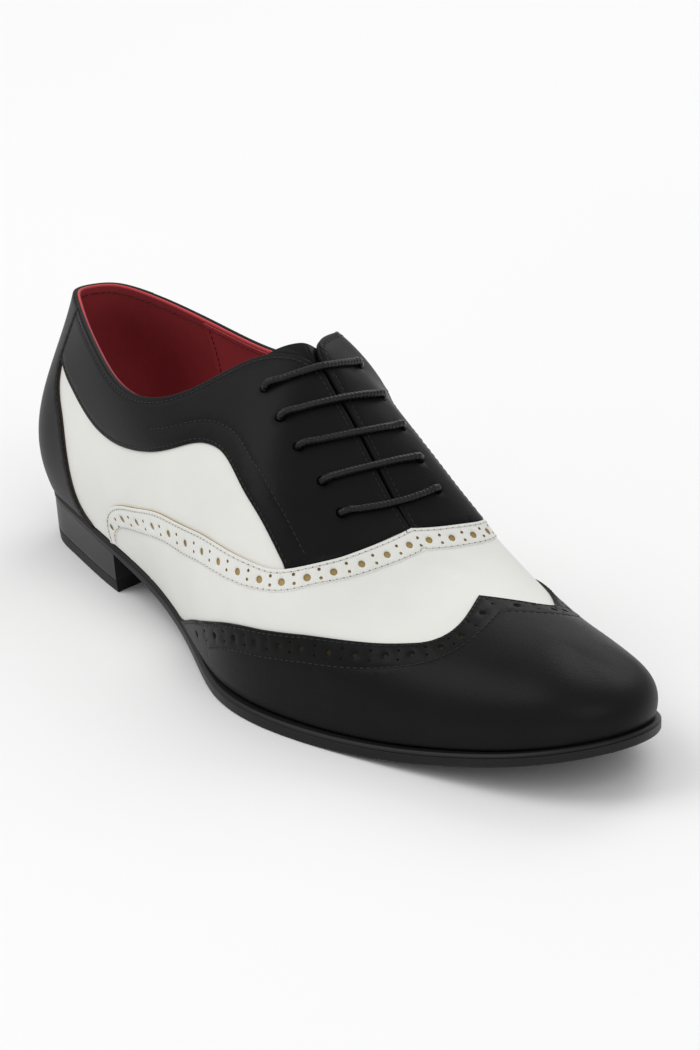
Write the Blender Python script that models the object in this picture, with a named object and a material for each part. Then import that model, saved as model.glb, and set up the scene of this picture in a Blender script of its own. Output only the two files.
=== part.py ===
"""Right lace-up dress shoe (two-tone wing-tip oxford) as separate named pieces.

+X runs to the toe, +Y to the medial side, +Z up; sizes are in millimetres until a mesh is written.
The upper is a field of ribs: each rib climbs from the feather line, where upper meets sole, to the
collar, the lacing slot or the ridge of the vamp.  A place on it is a row (0 heel back, 18 toe tip,
36 heel back again by the medial side) and a height v (0 feather line, 1 top of the rib).
"""
import bmesh
import bpy
import numpy as np

MM = 0.001

# Named sizes of the last, and the sizes the tables below are drawn for
LAST_LENGTH = 296.5
BALL_WIDTH = 95.2
INSTEP_HEIGHT = 101.9
DRAWN_LENGTH = 296.5
DRAWN_BALL = 95.2
DRAWN_INSTEP = 101.9

# Thicknesses and gaps
WALL = 1.6
SEAT_GAP = 0.3
PANEL_GAP = 0.42
PANEL_THICK = 1.0
TONGUE_GAP = 0.6
TONGUE_THICK = 1.6
TONGUE_ROW = 7.9
TONGUE_MEDIAL_ROW = 8.6
TONGUE_REACH = 15.5
TONGUE_DROOP = 4.0
TONGUE_CROWN = 0.1
PANEL_FOOT = 0.022
WING_TURN = 13.2
INSOLE_THICK = 2.2
INSOLE_INSET = 2.2

# Sole edge and heel
WELT_INSET = 0.9
WELT_HEIGHT = 1.3
EDGE_ROUND = 0.7
TOP_PIECE_HEIGHT = 4.4
HEEL_ROW = 4.93
HEEL_TAPER = 1.2
BREAST_HOLLOW = 4.0

# Lacing
SLOT_HALF = 0.8
SLOT_END_ROW = 12.0
# Corners of collar and slot: first row, row of the turn, last row and pull towards the turn
LATERAL_CORNER = (8.6, 9.0, 9.4, 1.0)
MEDIAL_CORNER = (8.1, 8.55, 9.3, 2.0)
LACE_RADIUS = 1.3
EYELET_RADIUS = 1.6

# Mesh steps
ROW_STEP = 0.5
RIB_STATIONS = (0, 0.11, 0.23, 0.36, 0.49, 0.61, 0.71, 0.79, 0.865, 0.935, 1)
WING_STATIONS = (0, 0.11, 0.23, 0.36, 0.49, 0.61, 0.79, 1)
CORNER_ROWS = (8.75, 9.25)

TOE_ROW = 18
LOOP = 2 * TOE_ROW

SECTION_COLUMNS = ("x_foot", "lat_foot", "med_foot", "x_top", "out_lat", "out_med", "lean_top",
                   "k_foot", "k_lat", "k_med", "ledge")
SECTIONS = (
    (-0.5, 0.0, 0.0, 3.9, 23.0, 23.0, 14, 0.40, 0.35, 0.35, 0.4),
    (2.4, -11.6, 12.5, 7.9, 23.5, 23.0, 15, 0.40, 0.33, 0.33, 0.4),
    (9.3, -20.5, 21.2, 15.9, 23.0, 21.0, 16, 0.42, 0.33, 0.34, 0.4),
    (25.0, -25.7, 27.0, 29.2, 19.0, 17.0, 18, 0.41, 0.35, 0.35, 0.4),
    (45.0, -29.2, 29.3, 48.0, 13.3, 13.0, 20, 0.40, 0.35, 0.35, 0.5),
    (68.0, -32.2, 29.0, 69.0, 12.0, 10.0, 24, 0.40, 0.35, 0.34, 0.6),
    (95.0, -33.7, 25.8, 92.0, 16.0, 11.5, 32, 0.41, 0.35, 0.33, 0.6),
    (120.0, -38.2, 23.8, 112.7, 18.0, 13.0, 44, 0.44, 0.34, 0.32, 0.8),
    (145.0, -45.8, 26.9, 129.3, 14.0, 12.0, 60, 0.48, 0.32, 0.32, 1.8),
    (165.0, -50.6, 32.6, 146.0, 9.0, 10.0, 76, 0.50, 0.31, 0.36, 2.7),
    (185.0, -50.6, 38.3, 159.0, 6.0, 7.0, 86, 0.48, 0.34, 0.35, 3.0),
    (203.0, -46.8, 42.3, 175.0, 6.0, 9.0, 90, 0.47, 0.37, 0.37, 3.0),
    (222.0, -40.7, 44.6, 192.0, 6.0, 11.5, 90, 0.44, 0.42, 0.45, 3.0),
    (242.0, -33.3, 42.9, 210.0, 7.0, 12.0, 90, 0.41, 0.46, 0.50, 3.0),
    (260.0, -26.0, 39.3, 230.0, 9.0, 13.0, 90, 0.39, 0.49, 0.53, 3.0),
    (275.0, -18.8, 35.0, 249.0, 11.0, 15.5, 90, 0.39, 0.51, 0.55, 3.0),
    (286.0, -10.8, 29.2, 263.0, 13.0, 18.0, 90, 0.43, 0.52, 0.55, 3.0),
    (293.5, -1.4, 20.5, 272.0, 14.0, 17.0, 90, 0.45, 0.53, 0.54, 3.0),
    (296.5, 10.7, 10.7, 276.0, 14.0, 14.0, 90, 0.46, 0.53, 0.53, 3.0),
)

COLLAR_COLUMNS = ("lat_y", "med_y", "lat_z", "med_z")
COLLAR = (
    (0.0, 0.0, 88.2, 88.2),
    (-7.2, 7.4, 89.0, 88.5),
    (-11.6, 13.2, 88.1, 87.4),
    (-17.2, 19.0, 85.7, 84.8),
    (-23.5, 24.7, 81.6, 81.1),
    (-28.7, 29.0, 77.9, 78.2),
    (-30.5, 30.2, 79.8, 80.6),
    (-24.5, 28.6, 88.6, 90.1),
    (-10.2, 18.6, 100.6, 102.4),
    (0.1, 1.7, 101.9, 101.9),
)

RIDGE_COLUMNS = ("x", "y", "z")
RIDGE = (
    (142, 0.8, 105.5),
    (154, 1.0, 94.6),
    (168, 1.4, 82.2),
    (186, 2.1, 63.9),
    (207, 4.2, 48.2),
    (229, 7.2, 42.3),
    (249, 9.0, 40.1),
    (263, 10.1, 39.3),
    (276, 10.6, 37.2),
)

SOLE_COLUMNS = ("x", "under", "top")
SOLE = (
    (-5, 16.8, 20.0),
    (40, 15.9, 19.1),
    (68, 14.4, 18.1),
    (90, 10.4, 14.7),
    (110, 6.0, 10.6),
    (130, 2.5, 7.3),
    (150, 0.4, 5.4),
    (165, -0.2, 5.0),
    (190, -0.2, 5.0),
    (215, 0.4, 5.4),
    (240, 2.8, 7.7),
    (265, 7.5, 12.3),
    (285, 12.4, 17.2),
    (300, 16.8, 21.6),
)

PLACE_COLUMNS = ("row", "v")
WING_EDGE = (
    (7.30, 0.045), (8.24, 0.121), (9.44, 0.180), (10.76, 0.268), (11.82, 0.392), (12.77, 0.526),
    (13.26, 0.611), (13.62, 0.762), (13.74, 0.928), (13.77, 1.000),
)
FACING_EDGE = (
    (2.60, 0.708), (3.61, 0.675), (4.54, 0.657), (5.26, 0.680), (5.95, 0.708), (6.43, 0.714),
    (6.94, 0.717), (7.48, 0.709), (7.86, 0.671), (8.29, 0.613), (9.01, 0.527), (9.59, 0.494),
    (10.30, 0.440),
)
FACING_FOOT = ((10.30, 0.440), (10.94, 0.580), (11.33, 0.714), (11.80, 0.905), (11.93, 0.955))
COUNTER_EDGE = (
    (4.30, 0.000), (3.84, 0.069), (3.62, 0.212), (3.46, 0.362), (3.16, 0.509), (2.70, 0.626),
    (2.50, 0.710), (2.44, 1.000),
)

STRIP_COLUMNS = ("row_up", "v_up", "row_low", "v_low")
STRIP = (
    (4.91, 0.022, 5.09, 0.022),
    (4.88, 0.106, 5.04, 0.056),
    (5.06, 0.222, 5.15, 0.106),
    (5.55, 0.340, 5.52, 0.190),
    (6.47, 0.435, 6.61, 0.309),
    (7.10, 0.430, 7.38, 0.303),
    (7.70, 0.393, 8.00, 0.286),
    (8.58, 0.356, 8.62, 0.272),
    (9.28, 0.354, 9.36, 0.278),
    (9.85, 0.381, 10.03, 0.322),
    (10.34, 0.429, 10.61, 0.394),
    (10.96, 0.565, 11.30, 0.559),
    (11.35, 0.697, 11.75, 0.710),
    (11.87, 0.905, 12.28, 0.905),
    (12.10, 1.000, 12.52, 1.000),
)

LACING_COLUMNS = ("row", "v", "ridge_row")
LACING = (
    (8.43, 0.862, 9.22),
    (9.06, 0.785, 9.95),
    (9.70, 0.767, 10.58),
    (10.40, 0.770, 11.10),
    (10.93, 0.765, 11.68),
)

WHITE = (0.72, 0.72, 0.68)
BLACK = (0.018, 0.018, 0.019)
RED = (0.16, 0.02, 0.025)
SOLE_BLACK = (0.022, 0.022, 0.022)
HEEL_GREY = (0.05, 0.05, 0.05)


def columns(names, table):
    """Table of rows as a dictionary of named columns."""
    return dict(zip(names, np.array(table, float).T))


SEC = columns(SECTION_COLUMNS, SECTIONS)
COL = columns(COLLAR_COLUMNS, COLLAR)
RDG = columns(RIDGE_COLUMNS, RIDGE)
SOL = columns(SOLE_COLUMNS, SOLE)
LONG = LAST_LENGTH / DRAWN_LENGTH
WIDE = BALL_WIDTH / DRAWN_BALL
HIGH = INSTEP_HEIGHT / DRAWN_INSTEP
for table, name, factor in (
        (SEC, "x_foot", LONG), (SEC, "x_top", LONG), (SEC, "lat_foot", WIDE), (SEC, "med_foot", WIDE),
        (COL, "lat_y", WIDE), (COL, "med_y", WIDE), (COL, "lat_z", HIGH), (COL, "med_z", HIGH),
        (RDG, "x", LONG), (RDG, "y", WIDE), (RDG, "z", HIGH), (SOL, "x", LONG)):
    table[name] = table[name] * factor


def spline(knots, values, at, period=None):
    """Cubic spline through the knots: straight beyond its ends, or closed over a period."""
    k = np.asarray(knots, float)
    y = np.asarray(values, float).reshape(len(k), -1)
    q = np.asarray(at, float).ravel()
    if period:
        q = np.mod(q - k[0], period) + k[0]
        y = np.concatenate([y[-4:], y, y[:5]])
        k = np.concatenate([k[-4:] - period, k, k[:5] + period])
    gap = np.diff(k)
    rise = np.diff(y, axis=0) / gap[:, None]
    matrix = np.eye(len(k))
    right = np.zeros_like(y)
    for i in range(1, len(k) - 1):
        matrix[i, i - 1:i + 2] = gap[i - 1], 2 * (gap[i - 1] + gap[i]), gap[i]
        right[i] = 6 * (rise[i] - rise[i - 1])
    bend = np.linalg.solve(matrix, right)
    inside = np.clip(q, k[0], k[-1])
    i = np.clip(np.searchsorted(k, inside, side="right") - 1, 0, len(k) - 2)
    d = (inside - k[i])[:, None]
    h = gap[i][:, None]
    slope = rise[i] - h * (2 * bend[i] + bend[i + 1]) / 6
    out = y[i] + slope * d + bend[i] / 2 * d ** 2 + (bend[i + 1] - bend[i]) / (6 * h) * d ** 3
    end = slope + bend[i] * d + (bend[i + 1] - bend[i]) / (2 * h) * d ** 2
    out = out + end * (q - inside)[:, None]
    return out[:, 0] if np.ndim(values) == 1 else out


def ease(t):
    """Smooth step from 0 to 1."""
    t = np.clip(t, 0, 1)
    return t * t * (3 - 2 * t)


def unit(p):
    """Vectors at length one."""
    return p / np.maximum(np.linalg.norm(p, axis=-1, keepdims=True), 1e-9)


def around(lat, med):
    """Column of the closed loop: heel to toe by the lateral side, back by the medial side."""
    return np.concatenate([lat, med[-2:0:-1]])


def sole_top(x):
    """Height of the sole's upper face."""
    return spline(SOL["x"], SOL["top"], x)


def sole_under(x):
    """Height of the sole's lower face, flat on the floor under the ball."""
    return np.maximum(spline(SOL["x"], SOL["under"], x), 0)


PLAN = np.stack([around(SEC["x_foot"], SEC["x_foot"]), around(SEC["lat_foot"], SEC["med_foot"])], 1)
STEPS = np.linalg.norm(np.roll(PLAN, -1, 0) - PLAN, axis=1)
KNOTS = np.concatenate([[0], np.cumsum(STEPS)])
SHAPE = np.stack([around(SEC["out_lat"], SEC["out_med"]), around(SEC["lean_top"], SEC["lean_top"]),
                  around(SEC["k_foot"], SEC["k_foot"]), around(SEC["k_lat"], SEC["k_med"]),
                  around(SEC["ledge"], SEC["ledge"])], 1)


def along(rows):
    """Distance along the feather line at the given rows."""
    return np.interp(np.mod(rows, LOOP), np.arange(LOOP + 1), KNOTS)


def feather(rows):
    """Plan points of the feather line and the inward directions there."""
    q = along(rows)
    p = spline(KNOTS[:-1], PLAN, q, KNOTS[-1])
    t = spline(KNOTS[:-1], PLAN, q + 0.2, KNOTS[-1]) - spline(KNOTS[:-1], PLAN, q - 0.2, KNOTS[-1])
    return p, unit(np.stack([-t[:, 1], t[:, 0]], 1))


def shape(rows):
    """Shape columns at the given rows."""
    return spline(KNOTS[:-1], SHAPE, along(rows), KNOTS[-1])


def ridge_slope(x):
    """Fall of the ridge along the length."""
    return spline(RDG["x"], RDG["z"], x + 0.5) - spline(RDG["x"], RDG["z"], x - 0.5)


def rim_point(row, lateral):
    """Points of the collar's rim, heel back to the corner of the slot."""
    last = len(COLLAR) - 1
    signed = np.arange(-last, last + 1)
    rim = np.stack([np.concatenate([SEC["x_top"][last:0:-1], SEC["x_top"][:last + 1]]),
                    np.concatenate([COL["med_y"][:0:-1], COL["lat_y"]]),
                    np.concatenate([COL["med_z"][:0:-1], COL["lat_z"]])], 1)
    return spline(signed, rim, np.where(lateral, row, -row))


def ridge_point(row, lateral):
    """Points of the slot's edge and, beyond the slot, of the ridge."""
    last = len(COLLAR) - 1
    x = spline(np.arange(last, TOE_ROW + 1), SEC["x_top"][last:], row)
    half = SLOT_HALF * np.clip((SLOT_END_ROW - row) / 0.5, 0, 1)
    y = spline(RDG["x"], RDG["y"], x) + np.where(lateral, -half, half)
    return np.stack([x, y, spline(RDG["x"], RDG["z"], x)], 1)


def rib_top(rows):
    """Upper ends of the ribs, and the row counted from the heel on either side."""
    rows = np.mod(rows, LOOP)
    lateral = rows <= TOE_ROW
    row = np.where(lateral, rows, LOOP - rows)
    start, turn, end, pull = (np.where(lateral, *pair) for pair in zip(LATERAL_CORNER, MEDIAL_CORNER))
    rim = rim_point(np.minimum(row, start), lateral)
    slot = ridge_point(np.maximum(row, end), lateral)
    corner = ridge_point(turn, lateral)
    s = np.clip((row - start) / (end - start), 0, 1)
    shares = np.stack([(1 - s) ** 2, 2 * pull * s * (1 - s), s ** 2])
    shares = (shares / shares.sum(0))[:, :, None]
    return rim * shares[0] + corner * shares[1] + slot * shares[2], row


def handles(rows):
    """The two inner control points of the ribs, from the leans and lengths of the sections."""
    plan, inward = feather(rows)
    form = shape(rows)
    foot = np.column_stack([plan, sole_top(plan[:, 0]) + SEAT_GAP])
    top, row = rib_top(rows)
    reach = foot[:, :2] - top[:, :2]
    span = np.linalg.norm(reach, axis=1)[:, None]
    turn = ease((span - 4) / 22)
    out = unit(-inward * (1 - turn) + unit(reach) * turn)
    lean_out = np.radians(form[:, 0])[:, None]
    lean_in = np.radians(np.clip(form[:, 1], 0, 90))[:, None]
    fall = (ease((row - 6.5) / 3.5) * ridge_slope(top[:, 0]) * out[:, 0])[:, None]
    rise = np.hstack([out * np.sin(lean_out), np.cos(lean_out)])
    drop = np.hstack([out * np.sin(lean_in), fall * np.sin(lean_in) - np.cos(lean_in)])
    size = np.linalg.norm(top - foot, axis=1)[:, None]
    return np.hstack([foot + rise * size * form[:, 2:3], top + drop * size * form[:, 3:4]])


HANDLES = handles(np.arange(LOOP, dtype=float))


def ribs(rows):
    """Four control points of each rib; the inner two run smoothly from section to section."""
    plan, _ = feather(rows)
    foot = np.column_stack([plan, sole_top(plan[:, 0]) + SEAT_GAP])
    inner = spline(KNOTS[:-1], HANDLES, along(rows), KNOTS[-1])
    return foot, inner[:, :3], inner[:, 3:], rib_top(rows)[0]


def skin(rows, v):
    """Points of the upper's outer face."""
    rows, v = np.broadcast_arrays(np.asarray(rows, float), np.asarray(v, float))
    foot, low, high, top = ribs(rows.ravel())
    w = v.ravel()[:, None]
    p = (1 - w) ** 3 * foot + 3 * (1 - w) ** 2 * w * low + 3 * (1 - w) * w ** 2 * high + w ** 3 * top
    return p.reshape(rows.shape + (3,))


def outward(rows, v):
    """Outward directions of the upper's face; on the closed ridge both sides share one."""
    rows, v = np.broadcast_arrays(np.asarray(rows, float), np.asarray(v, float))
    across = skin(rows + 0.02, v) - skin(rows - 0.02, v)
    climb = skin(rows, v + 0.004) - skin(rows, v - 0.004)
    face = unit(np.cross(across, climb))
    top, row = rib_top(rows.ravel())
    slope = ridge_slope(top[:, 0])
    crown = unit(np.stack([-slope, 0 * slope, 1 + 0 * slope], 1)).reshape(face.shape)
    share = ease((v - 0.8) / 0.2) * ease((row.reshape(v.shape) - SLOT_END_ROW + 0.5) / 0.5)
    return unit(face * (1 - share[..., None]) + crown * share[..., None])


def lifted(rows, v, height):
    """Points at a height over the upper's outer face."""
    return skin(rows, v) + outward(rows, v) * height


def run(table, count):
    """Places evenly spread along the smooth border through a table of rows and heights."""
    t = np.array(table, float)
    steps = np.hypot(np.diff(t[:, 0]) * 18, np.diff(t[:, 1]) * 70)
    knots = np.concatenate([[0], np.cumsum(steps)])
    return spline(knots, t, np.linspace(0, knots[-1], count))


def material(name, colour, roughness):
    """Plain Principled material."""
    mat = bpy.data.materials.new(name)
    mat.use_nodes = True
    shader = mat.node_tree.nodes["Principled BSDF"]
    shader.inputs["Base Color"].default_value = (*colour, 1)
    shader.inputs["Roughness"].default_value = roughness
    return mat


def piece(name, points, faces, colour, roughness=0.45):
    """Closed solid as a named object with its own material."""
    mesh = bpy.data.meshes.new(name)
    mesh.from_pydata([tuple(p) for p in np.asarray(points) * MM], [], faces)
    bm = bmesh.new()
    bm.from_mesh(mesh)
    bmesh.ops.remove_doubles(bm, verts=bm.verts, dist=1e-6)
    bmesh.ops.triangulate(bm, faces=bm.faces)
    bmesh.ops.recalc_face_normals(bm, faces=bm.faces)
    bm.to_mesh(mesh)
    bm.free()
    obj = bpy.data.objects.new(name, mesh)
    bpy.context.scene.collection.objects.link(obj)
    mesh.materials.append(material(name, colour, roughness))
    return obj


def shell(outer, inner, wrap=False, rim=None):
    """Points and faces of a sheet with two faces and closed borders."""
    nu, nv = outer.shape[:2]
    points = np.concatenate([outer.reshape(-1, 3), inner.reshape(-1, 3)])
    back = nu * nv
    faces = []
    for i in range(nu if wrap else nu - 1):
        a = i * nv
        b = (i + 1) % nu * nv
        for j in range(nv - 1):
            faces.append((a + j, b + j, b + j + 1, a + j + 1))
            faces.append((back + a + j + 1, back + b + j + 1, back + b + j, back + a + j))
        faces.append((a, back + a, back + b, b))
        if rim is None or rim[i]:
            faces.append((a + nv - 1, b + nv - 1, back + b + nv - 1, back + a + nv - 1))
    if not wrap:
        for j in range(nv - 1):
            e = (nu - 1) * nv
            faces.append((j, j + 1, back + j + 1, back + j))
            faces.append((e + j + 1, e + j, back + e + j, back + e + j + 1))
    return points, faces


def panel(name, rows, v, colour, rim=None):
    """Overlay: a sheet cut from the upper's own face and lifted off it."""
    top = lifted(rows, v, PANEL_GAP + PANEL_THICK)
    under = lifted(rows, v, PANEL_GAP)
    return piece(name, *shell(top, under, rim=rim), colour)


def both(side):
    """Lateral places followed by their medial mirror, the shared middle kept once."""
    mirrored = side[-2::-1].copy()
    mirrored[..., 0] = LOOP - mirrored[..., 0]
    return np.concatenate([side, mirrored])


def upper():
    """Hollow upper, open at the collar, the slot and underneath."""
    corner = np.array(CORNER_ROWS)
    rows = np.sort(np.concatenate([np.arange(0, LOOP, ROW_STEP), corner, LOOP - corner]))
    v = np.array(RIB_STATIONS)
    rim = (rows < SLOT_END_ROW - 0.1) | (rows > LOOP - SLOT_END_ROW - 0.1)
    outer = lifted(rows[:, None], v[None, :], 0)
    inner = lifted(rows[:, None], v[None, :], -WALL)
    return piece("upper", *shell(outer, inner, wrap=True, rim=rim), WHITE)


def wing_cap():
    """Toe cap with wings, from the feather line up to the scalloped border and its peak."""
    edge = columns(PLACE_COLUMNS, WING_EDGE)
    rows = np.append(edge["row"][0], np.arange(8, WING_TURN, ROW_STEP))
    wing = np.stack([rows, spline(edge["row"], edge["v"], rows)], 1)
    peak = run(WING_EDGE, 31)
    peak = peak[peak[:, 0] > WING_TURN]
    rest = np.arange(14, TOE_ROW + ROW_STEP / 2, ROW_STEP)
    places = both(np.concatenate([wing, peak, np.stack([rest, np.ones(len(rest))], 1)]))
    even = np.linspace(0, 1, len(WING_STATIONS))[None, :]
    share = np.where(places[:, 1:] > 0.999, np.array(WING_STATIONS)[None, :], even)
    v = np.maximum(np.clip(places[:, 1:], PANEL_FOOT, 1) * share, PANEL_FOOT * (1 + share))
    rows = places[:, :1] + 0 * v
    rim = np.minimum(places[:-1, 1], places[1:, 1]) < 0.999
    return panel("wing_cap", rows, v, BLACK, rim)


def brogue_strip():
    """Narrow strip from the lateral waist over the vamp, under the slot, to the medial waist."""
    last = len(STRIP) - 1
    fine = columns(STRIP_COLUMNS, spline(np.arange(last + 1), STRIP, np.linspace(0, last, 27)))
    up = np.stack([fine["row_up"], fine["v_up"]], 1)
    low = np.stack([fine["row_low"], fine["v_low"]], 1)
    share = np.linspace(0, 1, 3)[None, :, None]
    places = both(low[:, None] * (1 - share) + up[:, None] * share)
    return panel("brogue_strip", places[..., 0], np.minimum(places[..., 1], 1), WHITE)


def facing(name, medial):
    """Lace facing and collar band of one side."""
    edge = columns(PLACE_COLUMNS, FACING_EDGE)
    foot = columns(PLACE_COLUMNS, FACING_FOOT)
    turn = edge["row"][-1]
    back = np.sort(np.concatenate([edge["row"][[0, -1]], np.arange(3, turn, ROW_STEP), CORNER_ROWS]))
    front = np.append(np.arange(turn + 0.2, 11.8, ROW_STEP / 2), foot["row"][-2:])
    low = np.concatenate([spline(edge["row"], edge["v"], back), spline(foot["row"], foot["v"], front)])
    v = low[:, None] + (1 - low[:, None]) * np.linspace(0, 1, 6)[None, :]
    rows = np.concatenate([back, front])[:, None] + 0 * v
    return panel(name, LOOP - rows if medial else rows, v, BLACK)


def counter():
    """Heel counter, up the back to the collar."""
    edge = run(COUNTER_EDGE, 12)
    share = np.linspace(-1, 1, 19)[:, None]
    rows = edge[None, :, 0] * share
    v = np.clip(edge[None, :, 1] + 0 * share, PANEL_FOOT, 1)
    return panel("counter", rows, v, BLACK)


def crest(rows, depth):
    """Middle line of the tongue: the ridge, drawn on past the top of the slot in a drooping arc."""
    start = LATERAL_CORNER[2]
    past = np.clip((start - rows) / (start - TONGUE_ROW), 0, 1)
    at = np.maximum(rows, start)
    line = (ridge_point(at, True) + ridge_point(at, False)) / 2
    slope = ridge_slope(line[:, 0])
    line[:, 0] -= TONGUE_REACH * past
    line[:, 2] -= slope * TONGUE_REACH * past + TONGUE_DROOP * past ** 2
    return line - unit(np.stack([-slope, 0 * slope, 1 + 0 * slope], 1)) * depth


def tongue():
    """Tongue under the slot, from below the vamp to a little over the facings."""
    rows = np.concatenate([np.arange(12.5, TONGUE_ROW, -ROW_STEP), CORNER_ROWS, [TONGUE_ROW]])
    rows = np.sort(rows)[::-1]
    start = 1 - (0.16 + 0.06 * ease((12.6 - rows) / 2))[:, None]
    v = start + (1 - start) * np.linspace(0, 1, 5)[None, :]
    side = rows[:, None] + 0 * v
    short = side[:1] + (side - side[:1]) * (side[0, 0] - TONGUE_MEDIAL_ROW) / (side[0, 0] - TONGUE_ROW)
    faces = []
    for depth in (WALL + TONGUE_GAP, WALL + TONGUE_GAP + TONGUE_THICK):
        middle = crest(rows, depth)
        halves = []
        for places in (side, LOOP - short):
            half = lifted(places, v, -depth)
            span = np.linalg.norm(middle - half[:, -1], axis=1)
            arch = (half[:, -1] + middle) / 2
            arch[:, 2] += TONGUE_CROWN * span
            halves.append(np.concatenate([half, arch[:, None]], 1))
        faces.append(np.concatenate([halves[0], middle[:, None], halves[1][:, ::-1]], 1))
    return piece("tongue", *shell(faces[0], faces[1]), BLACK)


def stack(loops):
    """Points and faces of closed loops stacked from bottom to top and capped by cross strips."""
    count = len(loops[0])
    points = np.concatenate(loops)
    faces = []
    for k in range(len(loops) - 1):
        for i in range(count):
            a = k * count + i
            b = k * count + (i + 1) % count
            faces.append((a, b, b + count, a + count))
    for base in (0, (len(loops) - 1) * count):
        faces.append((base, base + 1, base + count - 1))
        for i in range(1, count // 2 - 1):
            faces.append((base + i, base + i + 1, base + count - i - 1, base + count - i))
        faces.append((base + count // 2 - 1, base + count // 2, base + count // 2 + 1))
    return points, faces


def sole_loop(rows, grow, height, lift):
    """Closed loop beside the feather line, grown outward, at a height of the sole."""
    plan, inward = feather(rows)
    p = plan - inward * np.reshape(grow, (-1, 1))
    return np.column_stack([p, height(p[:, 0]) + lift])


def insole():
    """Insole board inside the foot of the upper."""
    rows = np.arange(0, LOOP, ROW_STEP)
    low = sole_loop(rows, -INSOLE_INSET, sole_top, SEAT_GAP)
    high = sole_loop(rows, -INSOLE_INSET, sole_top, SEAT_GAP + INSOLE_THICK)
    return piece("insole", *stack([low, high]), RED, 0.7)


def outsole():
    """Outsole with a rounded lower edge and a set-back welt step under the upper."""
    rows = np.arange(0, LOOP, ROW_STEP)
    ledge = shape(rows)[:, 4]
    loops = (
        sole_loop(rows, ledge - EDGE_ROUND, sole_under, 0),
        sole_loop(rows, ledge, sole_under, EDGE_ROUND),
        sole_loop(rows, ledge, sole_top, -WELT_HEIGHT),
        sole_loop(rows, ledge - WELT_INSET, sole_top, -WELT_HEIGHT),
        sole_loop(rows, ledge - WELT_INSET, sole_top, 0),
    )
    return piece("outsole", *stack(loops), SOLE_BLACK, 0.4)


def heel_loop(grow, height, lift):
    """Closed loop of the heel: round the back, then along the hollow breast."""
    rows = np.linspace(-HEEL_ROW, HEEL_ROW, 31)
    plan, inward = feather(rows)
    p = plan - inward * (shape(rows)[:, 4] + grow)[:, None]
    share = np.linspace(0, 1, 9)[1:-1, None]
    breast = p[-1] * (1 - share) + p[0] * share
    breast[:, 0] -= BREAST_HOLLOW * (1 - (2 * share[:, 0] - 1) ** 2)
    p = np.concatenate([p, breast])
    z = height(p[:, 0]) if callable(height) else np.full(len(p), height)
    return np.column_stack([p, z + lift])


def heel_layer(name, low, high, colour):
    """Layer of the heel between two loops, capped by one face each."""
    count = len(low)
    faces = [tuple(range(count)), tuple(range(count, 2 * count))]
    for i in range(count):
        j = (i + 1) % count
        faces.append((i, j, count + j, count + i))
    return piece(name, np.concatenate([low, high]), faces, colour, 0.35)


def tube(centre, radius, sides=8):
    """Points and faces of a round cord along a path."""
    tangent = unit(np.gradient(centre, axis=0))
    first = np.array((1.0, 0, 0.3))
    a = unit(first - tangent * (tangent @ first)[:, None])
    b = np.cross(tangent, a)
    angle = np.arange(sides) * 2 * np.pi / sides
    ring = a[:, None] * np.cos(angle)[None, :, None] + b[:, None] * np.sin(angle)[None, :, None]
    points = (centre[:, None] + radius * ring).reshape(-1, 3)
    faces = [tuple(range(sides)), tuple(range(len(points) - sides, len(points)))]
    for k in range(len(centre) - 1):
        for i in range(sides):
            j = (i + 1) % sides
            faces.append((k * sides + i, k * sides + j, (k + 1) * sides + j, (k + 1) * sides + i))
    return points, faces


def lace_bar(name, row, v, ridge_row):
    """Straight bar of lace from the lateral eyelet over the slot to the medial eyelet."""
    share = np.array((0, 0.2, 0.4, 0.65, 0.92))
    top = PANEL_GAP + PANEL_THICK + SEAT_GAP
    height = top + LACE_RADIUS * np.array((1.1, 1.45, 1.55, 1.45, 1.3))
    rows = row + (ridge_row - row) * share
    places = v + (1 - v) * share
    lat = lifted(rows, places, 0) + outward(rows, places) * height[:, None]
    med = lifted(LOOP - rows, places, 0) + outward(LOOP - rows, places) * height[:, None]
    path = np.concatenate([lat, med[::-1]])
    knots = np.concatenate([[0], np.cumsum(np.linalg.norm(np.diff(path, axis=0), axis=1))])
    centre = spline(knots, path, np.linspace(0, knots[-1], 15))
    return piece(name, *tube(centre, LACE_RADIUS), BLACK, 0.4)


def drill(obj, sides):
    """Eyelet holes through one piece, cut by pins square to the upper."""
    points = []
    faces = []
    for row, v, _ in LACING:
        for r in sides(row):
            spot = lifted(np.array([r]), np.array([v]), 0)[0]
            axis = outward(np.array([r]), np.array([v]))[0]
            pin, sheets = tube(spot + axis * np.array(((-4.0,), (4.0,))), EYELET_RADIUS)
            faces += [tuple(i + len(points) for i in f) for f in sheets]
            points += list(pin)
    cutter = piece("eyelet_pins", np.array(points), faces, BLACK)
    cutter.hide_render = True
    cutter.display_type = "WIRE"
    cut = obj.modifiers.new("eyelets", "BOOLEAN")
    cut.operation = "DIFFERENCE"
    cut.solver = "EXACT"
    cut.object = cutter
    graph = bpy.context.evaluated_depsgraph_get()
    mesh = bpy.data.meshes.new_from_object(obj.evaluated_get(graph))
    obj.modifiers.clear()
    obj.data = mesh
    bpy.data.objects.remove(cutter)


def centre_on_floor(objects):
    """Bring the middle of the whole box over the origin, its floor at zero."""
    corners = np.array([v.co[:] for o in objects for v in o.data.vertices])
    low = corners.min(0)
    high = corners.max(0)
    shift = np.array(((low[0] + high[0]) / 2, (low[1] + high[1]) / 2, low[2]))
    for o in objects:
        for v in o.data.vertices:
            v.co = tuple(np.array(v.co[:]) - shift)


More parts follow.
